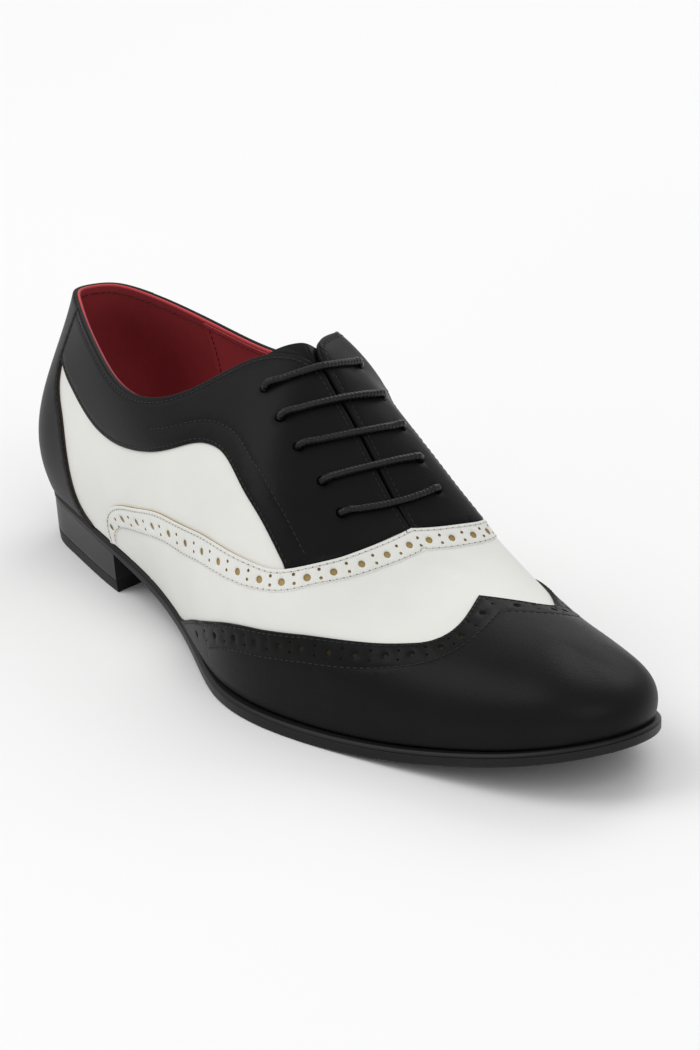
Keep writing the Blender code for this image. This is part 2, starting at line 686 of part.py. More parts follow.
def build():
    """Make every piece of the shoe."""
    for old in list(bpy.data.objects):
        bpy.data.objects.remove(old)
    body = upper()
    lateral = facing("facing_lateral", False)
    medial = facing("facing_medial", True)
    drill(body, lambda row: (row, LOOP - row))
    drill(lateral, lambda row: (row,))
    drill(medial, lambda row: (LOOP - row,))
    pieces = [body, lateral, medial, wing_cap(), brogue_strip(), counter(), tongue(), insole(), outsole()]
    pieces.append(heel_layer("heel_block", heel_loop(-0.3 - HEEL_TAPER * 0.6, TOP_PIECE_HEIGHT, 0),
                             heel_loop(-0.3, sole_under, -SEAT_GAP), HEEL_GREY))
    pieces.append(heel_layer("heel_top_piece", heel_loop(-0.3 - HEEL_TAPER, 0.0, 0),
                             heel_loop(-0.3 - HEEL_TAPER * 0.6, TOP_PIECE_HEIGHT, 0), SOLE_BLACK))
    for number, bar in enumerate(LACING, 1):
        pieces.append(lace_bar("lace_bar_%d" % number, **dict(zip(LACING_COLUMNS, bar))))
    centre_on_floor(pieces)


build()
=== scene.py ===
"""Looks of the right lace-up dress shoe: a two-tone wing-tip oxford in white and black leather.

Everything is drawn in millimetres, +X to the toe, +Y to the medial side, +Z up, and moved onto the
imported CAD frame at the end.  A place on the upper is a row (0 heel back, 18 toe tip) and a height w:
0 at the lateral feather line, 1 on the collar, the slot or the ridge, 2 at the medial feather line.
"""

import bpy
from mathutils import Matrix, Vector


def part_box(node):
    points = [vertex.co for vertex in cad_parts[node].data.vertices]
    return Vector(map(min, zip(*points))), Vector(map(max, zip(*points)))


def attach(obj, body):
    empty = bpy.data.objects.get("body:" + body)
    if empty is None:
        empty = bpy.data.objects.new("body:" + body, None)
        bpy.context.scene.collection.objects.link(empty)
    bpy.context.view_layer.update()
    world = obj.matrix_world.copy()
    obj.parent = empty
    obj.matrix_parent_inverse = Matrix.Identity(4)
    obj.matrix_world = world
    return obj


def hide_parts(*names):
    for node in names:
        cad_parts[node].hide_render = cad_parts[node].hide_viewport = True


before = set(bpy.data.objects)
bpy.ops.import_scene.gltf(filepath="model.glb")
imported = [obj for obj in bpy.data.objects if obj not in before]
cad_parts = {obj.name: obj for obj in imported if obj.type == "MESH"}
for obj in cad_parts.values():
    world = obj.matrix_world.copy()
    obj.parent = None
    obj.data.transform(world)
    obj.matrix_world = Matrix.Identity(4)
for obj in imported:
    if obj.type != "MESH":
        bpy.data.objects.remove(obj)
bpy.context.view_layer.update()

import math

import bpy
import numpy as np
from mathutils import Matrix, Vector
from mathutils.geometry import delaunay_2d_cdt
from mathutils.kdtree import KDTree

MM = 0.001

# Heights of the layers over the upper's outer face
LEATHER_UNDER = -0.9
LINING_OVER = -0.93
LINING_UNDER = -1.6
FRONT_OVER = LINING_UNDER + 0.1
FRONT_UNDER = LINING_UNDER - 0.45
LINING_THREAD = LINING_UNDER - 0.5
PANEL_BASE = -0.06
FACING_TOP = 0.9
WING_TOP = 1.0
COUNTER_TOP = 1.05
STRIP_TOP = 1.05
STRIP_LOW = 0.3

# Borders of the upper and its panels, as rows and heights of the chart
RIM = 0.996
FACING_RIM = 0.998
PANEL_FOOT = 0.006
WING_TAIL_ROW = 6.92
FACING_BACK_ROW = 2.3
FACING_START = (2.3, 0.722)
FOOT_END = (12.1, 1.005)
FOOT_TOP = 0.99
SLOT_TOP_ROW = 9.0
SLOT_FADE = 0.5
# Slopes beside the cut of the slot are measured this far from it
CUT_NEAR = 0.006
# Slot drawn closer at its edge: by how much, and the start and length of the blends in rows and heights
SLOT_CLOSE = 0.55
CLOSE_ROWS = (-0.2, 0.6)
CLOSE_HEIGHTS = (0.93, 0.06)

# Steps along the borders, and distances by which lines move over the face
BORDER_STEP = 1.2
RIM_STEP = 1.1
COUNTER_FLOOR_STEP = 1.6
UPPER_STEP = 1.3
LINING_STEP = 1.6
END_STEP = 1.0
INSET_STEP = 2.5
INSET_KEPT = 0.98
DENSE_STEP = 0.2
FOOT_TUCK = 1.2

# Strip: start in its table, before the first row, and the reach of the smoothing of its borders
STRIP_START = -0.2
STRIP_SMOOTH = 4.0

# Lining: foot, drop beside the slot from a row on, and its front quarters with their seam
LINING_FOOT = 0.002
LINING_SLOT_DROP = 0.035
LINING_DROP_ROW = 7.6
LINING_DROP_BLEND = (0.3, 0.8)
LINING_SEAM_ROW = 3.78
FRONT_END_ROW = SLOT_TOP_ROW - 0.5
FRONT_RIM = 0.985
FRONT_LOW = (0.3, 0.25, 0.04)
FRONT_STEPS = (1.5, 2.0)

# Piping of the rim: rows of its ends, depth and radius, spacing of its points and its thin ends
PIPING_ROW = 7.6
PIPING_END_ROW = 3.0
PIPING_DEPTH = -0.95
PIPING_RADIUS = 0.38
PIPING_SIDES = 10
PIPING_STEP = 0.8
PIPING_TAPER = 16.0
PIPING_FADE = 0.85

# Paint of the upper's leather: black rim down to the slot's end, and black foot but for the waist
PAINT_RIM = 0.03
PAINT_RIM_ROW = 11.9
PAINT_FOOT = 0.985
WAIST_ROW = 5.6
WAIST_HALF = 1.3
# Paints of the upper: white, black, tan, and under the wing cap a dim brown, painted shade with faint painted
# light at the bottoms of its punched holes
WHITE, BLACK, TAN, HOLE_SHADE = range(4)

# Sizes shared with the CAD
WALL = 1.6
SEAT_GAP = 0.3
TONGUE_GAP = 0.6
TONGUE_THICK = 1.6
TONGUE_ROW = 7.9
TONGUE_MEDIAL_ROW = 8.6
TONGUE_REACH = 15.5
TONGUE_CROWN = 0.1
INSOLE_THICK = 2.2
INSOLE_INSET = 2.2
TOP_PIECE_HEIGHT = 4.4
HEEL_ROW = 4.93
HEEL_TAPER = 1.2
BREAST_HOLLOW = 4.0
SLOT_HALF = 0.8
SLOT_END_ROW = 12.0
EYELET_RADIUS = 1.6
# Corners of collar and slot: first row, row of the turn, last row and pull towards the turn
LATERAL_CORNER = (8.6, 9.0, 9.4, 1.0)
MEDIAL_CORNER = (8.1, 8.55, 9.3, 2.0)

# Tongue as it shows: a deeper droop than the CAD's, its first row and width, room for the lace, blends
TONGUE_DROOP = 5.6
TONGUE_FOOT_ROW = 12.5
TONGUE_WIDTH = (0.16, 0.06)
TONGUE_WIDE_ROW = TONGUE_FOOT_ROW + 0.1
TONGUE_PUSH = 2.5
TONGUE_PUSH_ROW = 8.7
TONGUE_BLENDS = (2, 0.8)
# Shares of its width near either edge, where the points lie closer
TONGUE_EDGE = (0, 0.01, 0.025)
TONGUE_FIELD = (0.05, 0.95)

# Heel: inset under the sole, share of the taper at the top piece, rounding of its edges, fine joint
HEEL_INSET = 0.3
TOP_PIECE_SHARE = 0.6
HEEL_ROUND = 0.25
HEEL_JOINT = 0.2
# Edges of the rubber top piece at the floor and at the joint, as growth and lift
LIFT_LOW = ((-0.5, 0.0), (-0.12, 0.12), (0.0, 0.5))
LIFT_HIGH = ((0.0, -0.3), (-HEEL_JOINT, -0.05))

# Rows of one side, and of the loop round both sides
TOE_ROW = 18
LOOP = 2 * TOE_ROW
# Blends of the ribs, as the start and the length of each: turn of the foot, fall of the ridge, shared crown
RIB_TURN = (4, 22)
RIDGE_FALL = (6.5, 3.5)
CROWN_SHARE = (0.8, 0.2)
# Small steps that slopes are measured over: along the feather line, along the ridge, per row and height
FEATHER_STEP = 0.2
RIDGE_STEP = 0.5
ROW_STEP = 0.02
HEIGHT_STEP = 0.004

# Sections row by row: places of foot and top, leans in degrees, handle lengths as shares, ledge of the sole
SECTION_COLUMNS = ("x_foot", "lat_foot", "med_foot", "x_top", "out_lat", "out_med", "lean_top",
                   "k_foot", "k_lat", "k_med", "ledge")
SECTIONS = (
    (-0.5, 0.0, 0.0, 3.9, 23.0, 23.0, 14, 0.40, 0.35, 0.35, 0.4),
    (2.4, -11.6, 12.5, 7.9, 23.5, 23.0, 15, 0.40, 0.33, 0.33, 0.4),
    (9.3, -20.5, 21.2, 15.9, 23.0, 21.0, 16, 0.42, 0.33, 0.34, 0.4),
    (25.0, -25.7, 27.0, 29.2, 19.0, 17.0, 18, 0.41, 0.35, 0.35, 0.4),
    (45.0, -29.2, 29.3, 48.0, 13.3, 13.0, 20, 0.40, 0.35, 0.35, 0.5),
    (68.0, -32.2, 29.0, 69.0, 12.0, 10.0, 24, 0.40, 0.35, 0.34, 0.6),
    (95.0, -33.7, 25.8, 92.0, 16.0, 11.5, 32, 0.41, 0.35, 0.33, 0.6),
    (120.0, -38.2, 23.8, 112.7, 18.0, 13.0, 44, 0.44, 0.34, 0.32, 0.8),
    (145.0, -45.8, 26.9, 129.3, 14.0, 12.0, 60, 0.48, 0.32, 0.32, 1.8),
    (165.0, -50.6, 32.6, 146.0, 9.0, 10.0, 76, 0.50, 0.31, 0.36, 2.7),
    (185.0, -50.6, 38.3, 159.0, 6.0, 7.0, 86, 0.48, 0.34, 0.35, 3.0),
    (203.0, -46.8, 42.3, 175.0, 6.0, 9.0, 90, 0.47, 0.37, 0.37, 3.0),
    (222.0, -40.7, 44.6, 192.0, 6.0, 11.5, 90, 0.44, 0.42, 0.45, 3.0),
    (242.0, -33.3, 42.9, 210.0, 7.0, 12.0, 90, 0.41, 0.46, 0.50, 3.0),
    (260.0, -26.0, 39.3, 230.0, 9.0, 13.0, 90, 0.39, 0.49, 0.53, 3.0),
    (275.0, -18.8, 35.0, 249.0, 11.0, 15.5, 90, 0.39, 0.51, 0.55, 3.0),
    (286.0, -10.8, 29.2, 263.0, 13.0, 18.0, 90, 0.43, 0.52, 0.55, 3.0),
    (293.5, -1.4, 20.5, 272.0, 14.0, 17.0, 90, 0.45, 0.53, 0.54, 3.0),
    (296.5, 10.7, 10.7, 276.0, 14.0, 14.0, 90, 0.46, 0.53, 0.53, 3.0),
)

# Rim of the collar, row by row from the heel back
COLLAR_COLUMNS = ("lat_y", "med_y", "lat_z", "med_z")
COLLAR = (
    (0.0, 0.0, 88.2, 88.2),
    (-7.2, 7.4, 89.0, 88.5),
    (-11.6, 13.2, 88.1, 87.4),
    (-17.2, 19.0, 85.7, 84.8),
    (-23.5, 24.7, 81.6, 81.1),
    (-28.7, 29.0, 77.9, 78.2),
    (-30.5, 30.2, 79.8, 80.6),
    (-24.5, 28.6, 88.6, 90.1),
    (-10.2, 18.6, 100.6, 102.4),
    (0.1, 1.7, 101.9, 101.9),
)

# Middle line of slot and ridge
RIDGE_COLUMNS = ("x", "y", "z")
RIDGE = (
    (142, 0.8, 105.5),
    (154, 1.0, 94.6),
    (168, 1.4, 82.2),
    (186, 2.1, 63.9),
    (207, 4.2, 48.2),
    (229, 7.2, 42.3),
    (249, 9.0, 40.1),
    (263, 10.1, 39.3),
    (276, 10.6, 37.2),
)

# Heights of the sole's two faces along the length
SOLE_COLUMNS = ("x", "under", "top")
SOLE = (
    (-5, 16.8, 20.0),
    (40, 15.9, 19.1),
    (68, 14.4, 18.1),
    (90, 10.4, 14.7),
    (110, 6.0, 10.6),
    (130, 2.5, 7.3),
    (150, 0.4, 5.4),
    (165, -0.2, 5.0),
    (190, -0.2, 5.0),
    (215, 0.4, 5.4),
    (240, 2.8, 7.7),
    (265, 7.5, 12.3),
    (285, 12.4, 17.2),
    (300, 16.8, 21.6),
)

# Borders of the panels on the lateral side, as row and height
WING_EDGE = (
    (7.08, 0.024), (7.52, 0.080), (7.92, 0.112), (8.40, 0.134), (9.44, 0.180), (10.76, 0.268),
    (11.82, 0.392), (12.77, 0.526), (13.26, 0.611), (13.62, 0.762), (13.74, 0.928), (13.77, 1.000),
)
FACING_EDGE = (
    (2.60, 0.708), (3.61, 0.675), (4.54, 0.657), (5.26, 0.680), (5.95, 0.708), (6.43, 0.714),
    (6.94, 0.717), (7.48, 0.709), (7.86, 0.671), (8.29, 0.613), (9.01, 0.527), (9.59, 0.494),
    (10.30, 0.440),
)
FACING_FOOT = ((10.30, 0.440), (10.94, 0.580), (11.33, 0.714), (11.80, 0.905), (11.93, 0.955))
COUNTER_EDGE = (
    (4.30, 0.000), (3.84, 0.069), (3.62, 0.212), (3.46, 0.362), (3.16, 0.509), (2.70, 0.626),
    (2.50, 0.710), (2.44, 1.000),
)

# Upper and lower border of the punched strip, waist to ridge
STRIP_COLUMNS = ("row_up", "v_up", "row_low", "v_low")
STRIP = (
    (4.91, 0.022, 5.09, 0.022),
    (4.88, 0.106, 5.04, 0.056),
    (5.06, 0.222, 5.15, 0.106),
    (5.55, 0.340, 5.52, 0.190),
    (6.47, 0.435, 6.61, 0.309),
    (7.10, 0.430, 7.38, 0.303),
    (7.70, 0.393, 8.00, 0.286),
    (8.58, 0.356, 8.62, 0.272),
    (9.28, 0.354, 9.36, 0.278),
    (9.85, 0.381, 10.03, 0.322),
    (10.34, 0.429, 10.61, 0.394),
    (10.96, 0.565, 11.30, 0.559),
    (11.35, 0.697, 11.75, 0.710),
    (11.87, 0.905, 12.28, 0.905),
    (12.10, 1.000, 12.52, 1.000),
)

# Eyelets from the top down: row, height, and the row where the bar of lace crosses the ridge
LACING = (
    (8.43, 0.862, 9.22),
    (9.06, 0.785, 9.95),
    (9.70, 0.767, 10.58),
    (10.40, 0.770, 11.10),
    (10.93, 0.765, 11.68),
)

# Punched holes of the lateral side, as row and height
STRIP_HOLES = (
    (5.04, 0.130), (5.48, 0.250), (6.00, 0.335), (6.60, 0.375), (7.12, 0.375), (7.60, 0.355),
    (8.12, 0.330), (8.74, 0.310), (9.32, 0.315), (9.84, 0.340), (10.32, 0.385), (10.80, 0.470),
    (11.20, 0.580), (11.56, 0.710), (11.88, 0.835), (12.20, 0.950),
)
WING_HOLES = (
    (7.92, 0.060), (8.80, 0.105), (9.40, 0.135), (9.92, 0.160), (10.48, 0.195), (10.96, 0.230),
    (11.48, 0.280), (11.96, 0.330), (12.48, 0.400), (12.92, 0.475), (13.48, 0.545), (13.88, 0.695),
    (14.08, 0.900),
)
# Radius of the big and the small holes, and how far the small ones lie from the middle of the row
STRIP_PUNCH = (1.2, 0.58, 1.45)
WING_PUNCH = (0.95, 0.5, 1.6)
BIG_SIDES = 14
SMALL_SIDES = 8
EYELET_SIDES = 20
# Distance of the wing's holes from its border, and of the strip's holes below its middle line
WING_HOLES_IN = 4.5
HOLE_LOW = 0.35
# Strip's holes grow longer from one row back to another, down to the waist's end; lean over the ridge
HOLE_STRETCH = 0.4
STRETCH_ROW = 8.5
STRETCH_RUN = 2.5
STRETCH_END = (5.0, 0.4)
RIDGE_LEAN = 2.7

# Soft wrinkles: share of the height at their ends; ends as row and height, height and half width in mm
CREASE_ENDS = 0.35
CREASES = (
    (12.6, 0.72, 12.9, 1.25, -0.25, 5.0),
    (13.1, 0.80, 13.3, 1.20, 0.18, 4.0),
)

# Meshing: rough millimetres per row and per height, for the chart and for the spacing of borders
CHART = np.array((18.0, 60.0))
RUN_SCALE = (18, 70)
# Distances below which corners, rows and places are one, and area of a dropped sliver
JOIN_NEAR = 0.05
SAME_ROW = 1e-6
CHART_NEAR = 1e-5
SLIVER = 1e-10
# Border rings as distance in and depth, for panels, for the upper's leather and for the lining
RINGS = ((0, 0.36), (0.16, 0.12), (0.45, 0.0))
UPPER_RINGS = ((0, 0.1), (0.3, 0.0))
FLAT_RINGS = ((0, 0.0), (0.4, 0.0))
RING_KEPT = 0.8
PUNCH_ROUND = 0.4
PUNCH_SIDES = 10
# Places tested at a time
CHUNK = 1500
# Spacing of the field in rows and heights
GRID = (0.1, 0.028)
STRIP_GRID = (0.08, 0.022)
LINING_GRID = (0.16, 0.04)
# Least distance between the points of rings, marks, furrows and field and those before them
RING_GAP = 0.1
MARK_GAP = 0.3
FURROW_GAP = 0.2
FIELD_GAP = 0.8
# Lines of points on the upper that keep the paint under the strip clear of its border
BAND_MARKS = (0.5, 1.4)
MARK_STEP = 0.8
# Furrows under the stitches
FURROW_DEPTH = 0.2
FURROW_HALF = 0.55
FURROW_STEP = 1.1
FURROW_CLEAR = 0.4

# Seams: distances from the panels' borders, and the rows where the inner ones begin
FACING_RIM_SEAM = 2.0
FACING_EDGE_SEAM = 1.1
FACING_INNER_SEAM = 7.5
FACING_INNER_ROW = 6.4
WING_SEAMS = (1.0, 8.6)
WING_SEAM_ROW = 8.4
WING_SEAM_FOOT = 0.96
STRIP_UP_SEAM = 1.15
STRIP_LOW_SEAM = 0.8
COUNTER_SEAM = 1.3
LINING_RIM_SEAM = 2.4
LINING_RIM_ROW = SLOT_TOP_ROW - 0.6
FRONT_SEAM_ROW = LINING_SEAM_ROW + 0.1
FRONT_SEAM_ENDS = (0.96, 0.35)

# Stitches: length and thickness, those of the dark needle marks that paint the shade of the needle holes,
# spacing, and depth under the leather's top
STITCH_SIZE = (1.75, 0.4)
NEEDLE_SIZE = (0.5, 0.34)
STITCH_PITCH = 2.3
STITCH_SINK = 0.06
# Shape of a stitch: places along its length and girth there, as shares
STITCH_ALONG = (-0.5, -0.42, -0.2, 0.2, 0.42, 0.5)
STITCH_GIRTH = (0.18, 0.72, 1, 1, 0.72, 0.18)
STITCH_SIDES = 8

# Outsole edge from the floor up, as growth over the ledge and lift from the under face or the top face
SOLE_LOW = ((-0.7, 0.0), (-0.25, 0.1), (-0.05, 0.35), (0.0, 0.7))
SOLE_HIGH = ((0.0, -1.75), (-0.25, -1.55), (-0.02, -1.35), (-0.15, -1.1), (-0.75, -0.35), (-1.0, -0.25),
             (-1.6, -0.25), (-2.2, 0.0), (-4.0, 0.0))
# Edge of the sock over the insole, as distance in and height
SOCK_EDGE = ((0.0, 0.0), (0.0, INSOLE_THICK - 0.6), (0.2, INSOLE_THICK - 0.2), (0.7, INSOLE_THICK))

# Lace, a little thicker than the CAD's: heights of bars, eyelet passes and hidden runs, and their shares
LACE_RADIUS = 1.4
BAR_HEIGHT = 2.2
EYELET_PASS = (0.9, -0.6, -2.1)
RUN_DEPTH = -3.1
BAR_SHARE = (0.07, 0.985)
RUN_SHARE = (0.12, 0.88)
EYELET_SPARE = 0.1
# Braid of the lace, and its spacing of points
LACE_STEP = 0.28
BRAID_HEIGHT = 0.14
BRAID_TURN = 2.0
BRAID_STRANDS = 4
LACE_SIDES = 24
# Direction that no cord starts along
CORD_SIDE = (0.3, 1.0, 0.2)
# Route of the one cord: runs behind, from eyelet to eyelet counted from the top, on the medial side or not,
# with their reach aside; each is followed by the bar that crosses at its last eyelet
LACE_ROUTE = (
    (1, 2, False, 1.2),
    (2, 4, True, 2.6),
    (4, 5, False, 0.0),
    (5, 3, True, 2.6),
    (3, 1, False, 2.6),
)

# Camera of the photograph, and the frame round the one shoe
VIEW_AZIMUTH = 54.25
VIEW_ELEVATION = 22.22
VIEW_ROLL = 0.78
VIEW_CENTRE = np.array((150.0, 0.0, 40.0))
VIEW_DISTANCE = 1486.0
VIEW_OFFSET = (-39.3, -12.7)
IMAGE_SIZE = (700, 1050)
SENSOR = 36.0
FRAME_FILL = 0.89

# Studio: floor, sky, point that the lights aim at, and each light's name, place, size and power
FLOOR_HALF = 6
SKY_STRENGTH = 0.68
AIM = (0, 0, 0.04)
LIGHTS = (
    ("key", (-0.7, -0.9, 1.5), 1.2, 10.0),
    ("fill", (1.3, -0.3, 1.1), 1.0, 4.5),
    ("rim", (-0.6, 1.2, 1.2), 1.0, 5.5),
)


def columns(names, table):
    """Table of rows as a dictionary of named columns."""
    return dict(zip(names, np.array(table, float).T))


SEC = columns(SECTION_COLUMNS, SECTIONS)
COL = columns(COLLAR_COLUMNS, COLLAR)
RDG = columns(RIDGE_COLUMNS, RIDGE)
SOL = columns(SOLE_COLUMNS, SOLE)


def spline(knots, values, at, period=None):
    """Cubic spline through the knots: straight beyond its ends, or closed over a period."""
    k = np.asarray(knots, float)
    y = np.asarray(values, float).reshape(len(k), -1)
    q = np.asarray(at, float).ravel()
    if period:
        q = np.mod(q - k[0], period) + k[0]
        y = np.concatenate([y[-4:], y, y[:5]])
        k = np.concatenate([k[-4:] - period, k, k[:5] + period])
    gap = np.diff(k)
    rise = np.diff(y, axis=0) / gap[:, None]
    matrix = np.eye(len(k))
    right = np.zeros_like(y)
    for i in range(1, len(k) - 1):
        matrix[i, i - 1:i + 2] = gap[i - 1], 2 * (gap[i - 1] + gap[i]), gap[i]
        right[i] = 6 * (rise[i] - rise[i - 1])
    bend = np.linalg.solve(matrix, right)
    inside = np.clip(q, k[0], k[-1])
    i = np.clip(np.searchsorted(k, inside, side="right") - 1, 0, len(k) - 2)
    d = (inside - k[i])[:, None]
    h = gap[i][:, None]
    slope = rise[i] - h * (2 * bend[i] + bend[i + 1]) / 6
    out = y[i] + slope * d + bend[i] / 2 * d ** 2 + (bend[i + 1] - bend[i]) / (6 * h) * d ** 3
    end = slope + bend[i] * d + (bend[i + 1] - bend[i]) / (2 * h) * d ** 2
    out = out + end * (q - inside)[:, None]
    return out[:, 0] if np.ndim(values) == 1 else out


def ease(t):
    """Smooth step from 0 to 1."""
    t = np.clip(t, 0, 1)
    return t * t * (3 - 2 * t)


def unit(p):
    """Vectors at length one."""
    return p / np.maximum(np.linalg.norm(p, axis=-1, keepdims=True), 1e-9)


def reaches(points):
    """Distance of each point of a path from its start."""
    return np.concatenate([[0], np.cumsum(np.linalg.norm(np.diff(points, axis=0), axis=1))])


def around(lat, med):
    """Column of the closed loop: heel to toe by the lateral side, back by the medial side."""
    return np.concatenate([lat, med[-2:0:-1]])


def sole_top(x):
    """Height of the sole's upper face."""
    return spline(SOL["x"], SOL["top"], x)


def sole_under(x):
    """Height of the sole's lower face, flat on the floor under the ball."""
    return np.maximum(spline(SOL["x"], SOL["under"], x), 0)


PLAN = np.stack([around(SEC["x_foot"], SEC["x_foot"]), around(SEC["lat_foot"], SEC["med_foot"])], 1)
STEPS = np.linalg.norm(np.roll(PLAN, -1, 0) - PLAN, axis=1)
KNOTS = np.concatenate([[0], np.cumsum(STEPS)])
SHAPE = np.stack([around(SEC["out_lat"], SEC["out_med"]), around(SEC["lean_top"], SEC["lean_top"]),
                  around(SEC["k_foot"], SEC["k_foot"]), around(SEC["k_lat"], SEC["k_med"]),
                  around(SEC["ledge"], SEC["ledge"])], 1)


def along(rows):
    """Distance along the feather line at the given rows."""
    return np.interp(np.mod(rows, LOOP), np.arange(LOOP + 1), KNOTS)


def feather(rows):
    """Plan points of the feather line and the inward directions there."""
    q = along(rows)
    p = spline(KNOTS[:-1], PLAN, q, KNOTS[-1])
    before, after = (spline(KNOTS[:-1], PLAN, q + step, KNOTS[-1]) for step in (-FEATHER_STEP, FEATHER_STEP))
    t = after - before
    return p, unit(np.stack([-t[:, 1], t[:, 0]], 1))


def shape(rows):
    """Shape columns at the given rows."""
    return spline(KNOTS[:-1], SHAPE, along(rows), KNOTS[-1])


def ridge_slope(x):
    """Fall of the ridge along the length."""
    before, after = (spline(RDG["x"], RDG["z"], x + step) for step in (-RIDGE_STEP, RIDGE_STEP))
    return after - before


def rim_point(row, lateral):
    """Points of the collar's rim, heel back to the corner of the slot."""
    last = len(COLLAR) - 1
    signed = np.arange(-last, last + 1)
    rim = np.stack([np.concatenate([SEC["x_top"][last:0:-1], SEC["x_top"][:last + 1]]),
                    np.concatenate([COL["med_y"][:0:-1], COL["lat_y"]]),
                    np.concatenate([COL["med_z"][:0:-1], COL["lat_z"]])], 1)
    return spline(signed, rim, np.where(lateral, row, -row))


def ridge_point(row, lateral):
    """Points of the slot's edge and, beyond the slot, of the ridge."""
    last = len(COLLAR) - 1
    x = spline(np.arange(last, TOE_ROW + 1), SEC["x_top"][last:], row)
    half = SLOT_HALF * np.clip((SLOT_END_ROW - row) / SLOT_FADE, 0, 1)
    y = spline(RDG["x"], RDG["y"], x) + np.where(lateral, -half, half)
    return np.stack([x, y, spline(RDG["x"], RDG["z"], x)], 1)


def rib_top(rows):
    """Upper ends of the ribs, and the row counted from the heel on either side."""
    rows = np.mod(rows, LOOP)
    lateral = rows <= TOE_ROW
    row = np.where(lateral, rows, LOOP - rows)
    start, turn, end, pull = (np.where(lateral, *pair) for pair in zip(LATERAL_CORNER, MEDIAL_CORNER))
    rim = rim_point(np.minimum(row, start), lateral)
    slot = ridge_point(np.maximum(row, end), lateral)
    corner = ridge_point(turn, lateral)
    s = np.clip((row - start) / (end - start), 0, 1)
    shares = np.stack([(1 - s) ** 2, 2 * pull * s * (1 - s), s ** 2])
    shares = (shares / shares.sum(0))[:, :, None]
    return rim * shares[0] + corner * shares[1] + slot * shares[2], row


def handles(rows):
    """The two inner control points of the ribs, from the leans and lengths of the sections."""
    plan, inward = feather(rows)
    form = shape(rows)
    foot = np.column_stack([plan, sole_top(plan[:, 0]) + SEAT_GAP])
    top, row = rib_top(rows)
    reach = foot[:, :2] - top[:, :2]
    span = np.linalg.norm(reach, axis=1)[:, None]
    turn = ease((span - RIB_TURN[0]) / RIB_TURN[1])
    out = unit(-inward * (1 - turn) + unit(reach) * turn)
    lean_out = np.radians(form[:, 0])[:, None]
    lean_in = np.radians(np.clip(form[:, 1], 0, 90))[:, None]
    fall = ease((row - RIDGE_FALL[0]) / RIDGE_FALL[1]) * ridge_slope(top[:, 0]) * out[:, 0]
    fall = fall[:, None]
    rise = np.hstack([out * np.sin(lean_out), np.cos(lean_out)])
    drop = np.hstack([out * np.sin(lean_in), fall * np.sin(lean_in) - np.cos(lean_in)])
    size = np.linalg.norm(top - foot, axis=1)[:, None]
    return np.hstack([foot + rise * size * form[:, 2:3], top + drop * size * form[:, 3:4]])


HANDLES = handles(np.arange(LOOP, dtype=float))


def ribs(rows):
    """Four control points of each rib; the inner two run smoothly from section to section."""
    plan, _ = feather(rows)
    foot = np.column_stack([plan, sole_top(plan[:, 0]) + SEAT_GAP])
    inner = spline(KNOTS[:-1], HANDLES, along(rows), KNOTS[-1])
    return foot, inner[:, :3], inner[:, 3:], rib_top(rows)[0]


def skin(rows, v):
    """Points of the upper's outer face."""
    rows, v = np.broadcast_arrays(np.asarray(rows, float), np.asarray(v, float))
    foot, low, high, top = ribs(rows.ravel())
    w = v.ravel()[:, None]
    p = (1 - w) ** 3 * foot + 3 * (1 - w) ** 2 * w * low + 3 * (1 - w) * w ** 2 * high + w ** 3 * top
    return p.reshape(rows.shape + (3,))


def outward(rows, v):
    """Outward directions of the upper's face; on the closed ridge both sides share one."""
    rows, v = np.broadcast_arrays(np.asarray(rows, float), np.asarray(v, float))
    across = skin(rows + ROW_STEP, v) - skin(rows - ROW_STEP, v)
    climb = skin(rows, v + HEIGHT_STEP) - skin(rows, v - HEIGHT_STEP)
    face = unit(np.cross(across, climb))
    top, row = rib_top(rows.ravel())
    slope = ridge_slope(top[:, 0])
    crown = unit(np.stack([-slope, 0 * slope, 1 + 0 * slope], 1)).reshape(face.shape)
    share = ease((v - CROWN_SHARE[0]) / CROWN_SHARE[1])
    share = share * ease((row.reshape(v.shape) - SLOT_END_ROW + SLOT_FADE) / SLOT_FADE)
    return unit(face * (1 - share[..., None]) + crown * share[..., None])


def run(table, count):
    """Places evenly spread along the smooth border through a table of rows and heights."""
    t = np.array(table, float)
    steps = np.hypot(np.diff(t[:, 0]) * RUN_SCALE[0], np.diff(t[:, 1]) * RUN_SCALE[1])
    knots = np.concatenate([[0], np.cumsum(steps)])
    return spline(knots, t, np.linspace(0, knots[-1], count))


def frame_shift():
    """Drawn place of the outsole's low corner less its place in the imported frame."""
    rows = np.arange(0, LOOP, 0.5)
    plan, inward = feather(rows)
    edge = plan - inward * shape(rows)[:, 4:5]
    low = np.append(edge.min(0), 0.0)
    return low - np.array(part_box("outsole")[0]) / MM


SHIFT = frame_shift()


def on_frame(points):
    """Drawn millimetres as metres of the frame."""
    return (np.asarray(points) - SHIFT) * MM


def place(row, w):
    """Rows and heights on the ribs for places of the chart."""
    side = w <= 1
    return np.where(side, row, LOOP - row), np.where(side, w, 2 - w)


def flat(spots):
    """Points of the upper's bare face at places of the chart."""
    return skin(*place(spots[:, 0], spots[:, 1]))


def creases(spots):
    """Height of the soft wrinkles of wear at places of the chart."""
    p = spots * CHART
    total = np.zeros(len(p))
    for row_a, w_a, row_b, w_b, height, width in CREASES:
        a = np.array((row_a, w_a)) * CHART
        b = np.array((row_b, w_b)) * CHART
        t = np.clip((p - a) @ (b - a) / ((b - a) @ (b - a)), 0, 1)
        away = np.linalg.norm(p - a - t[:, None] * (b - a), axis=1)
        swell = CREASE_ENDS + (1 - CREASE_ENDS) * np.sin(np.pi * t)
        total += height * swell * np.exp(-(away / width) ** 2)
    return total


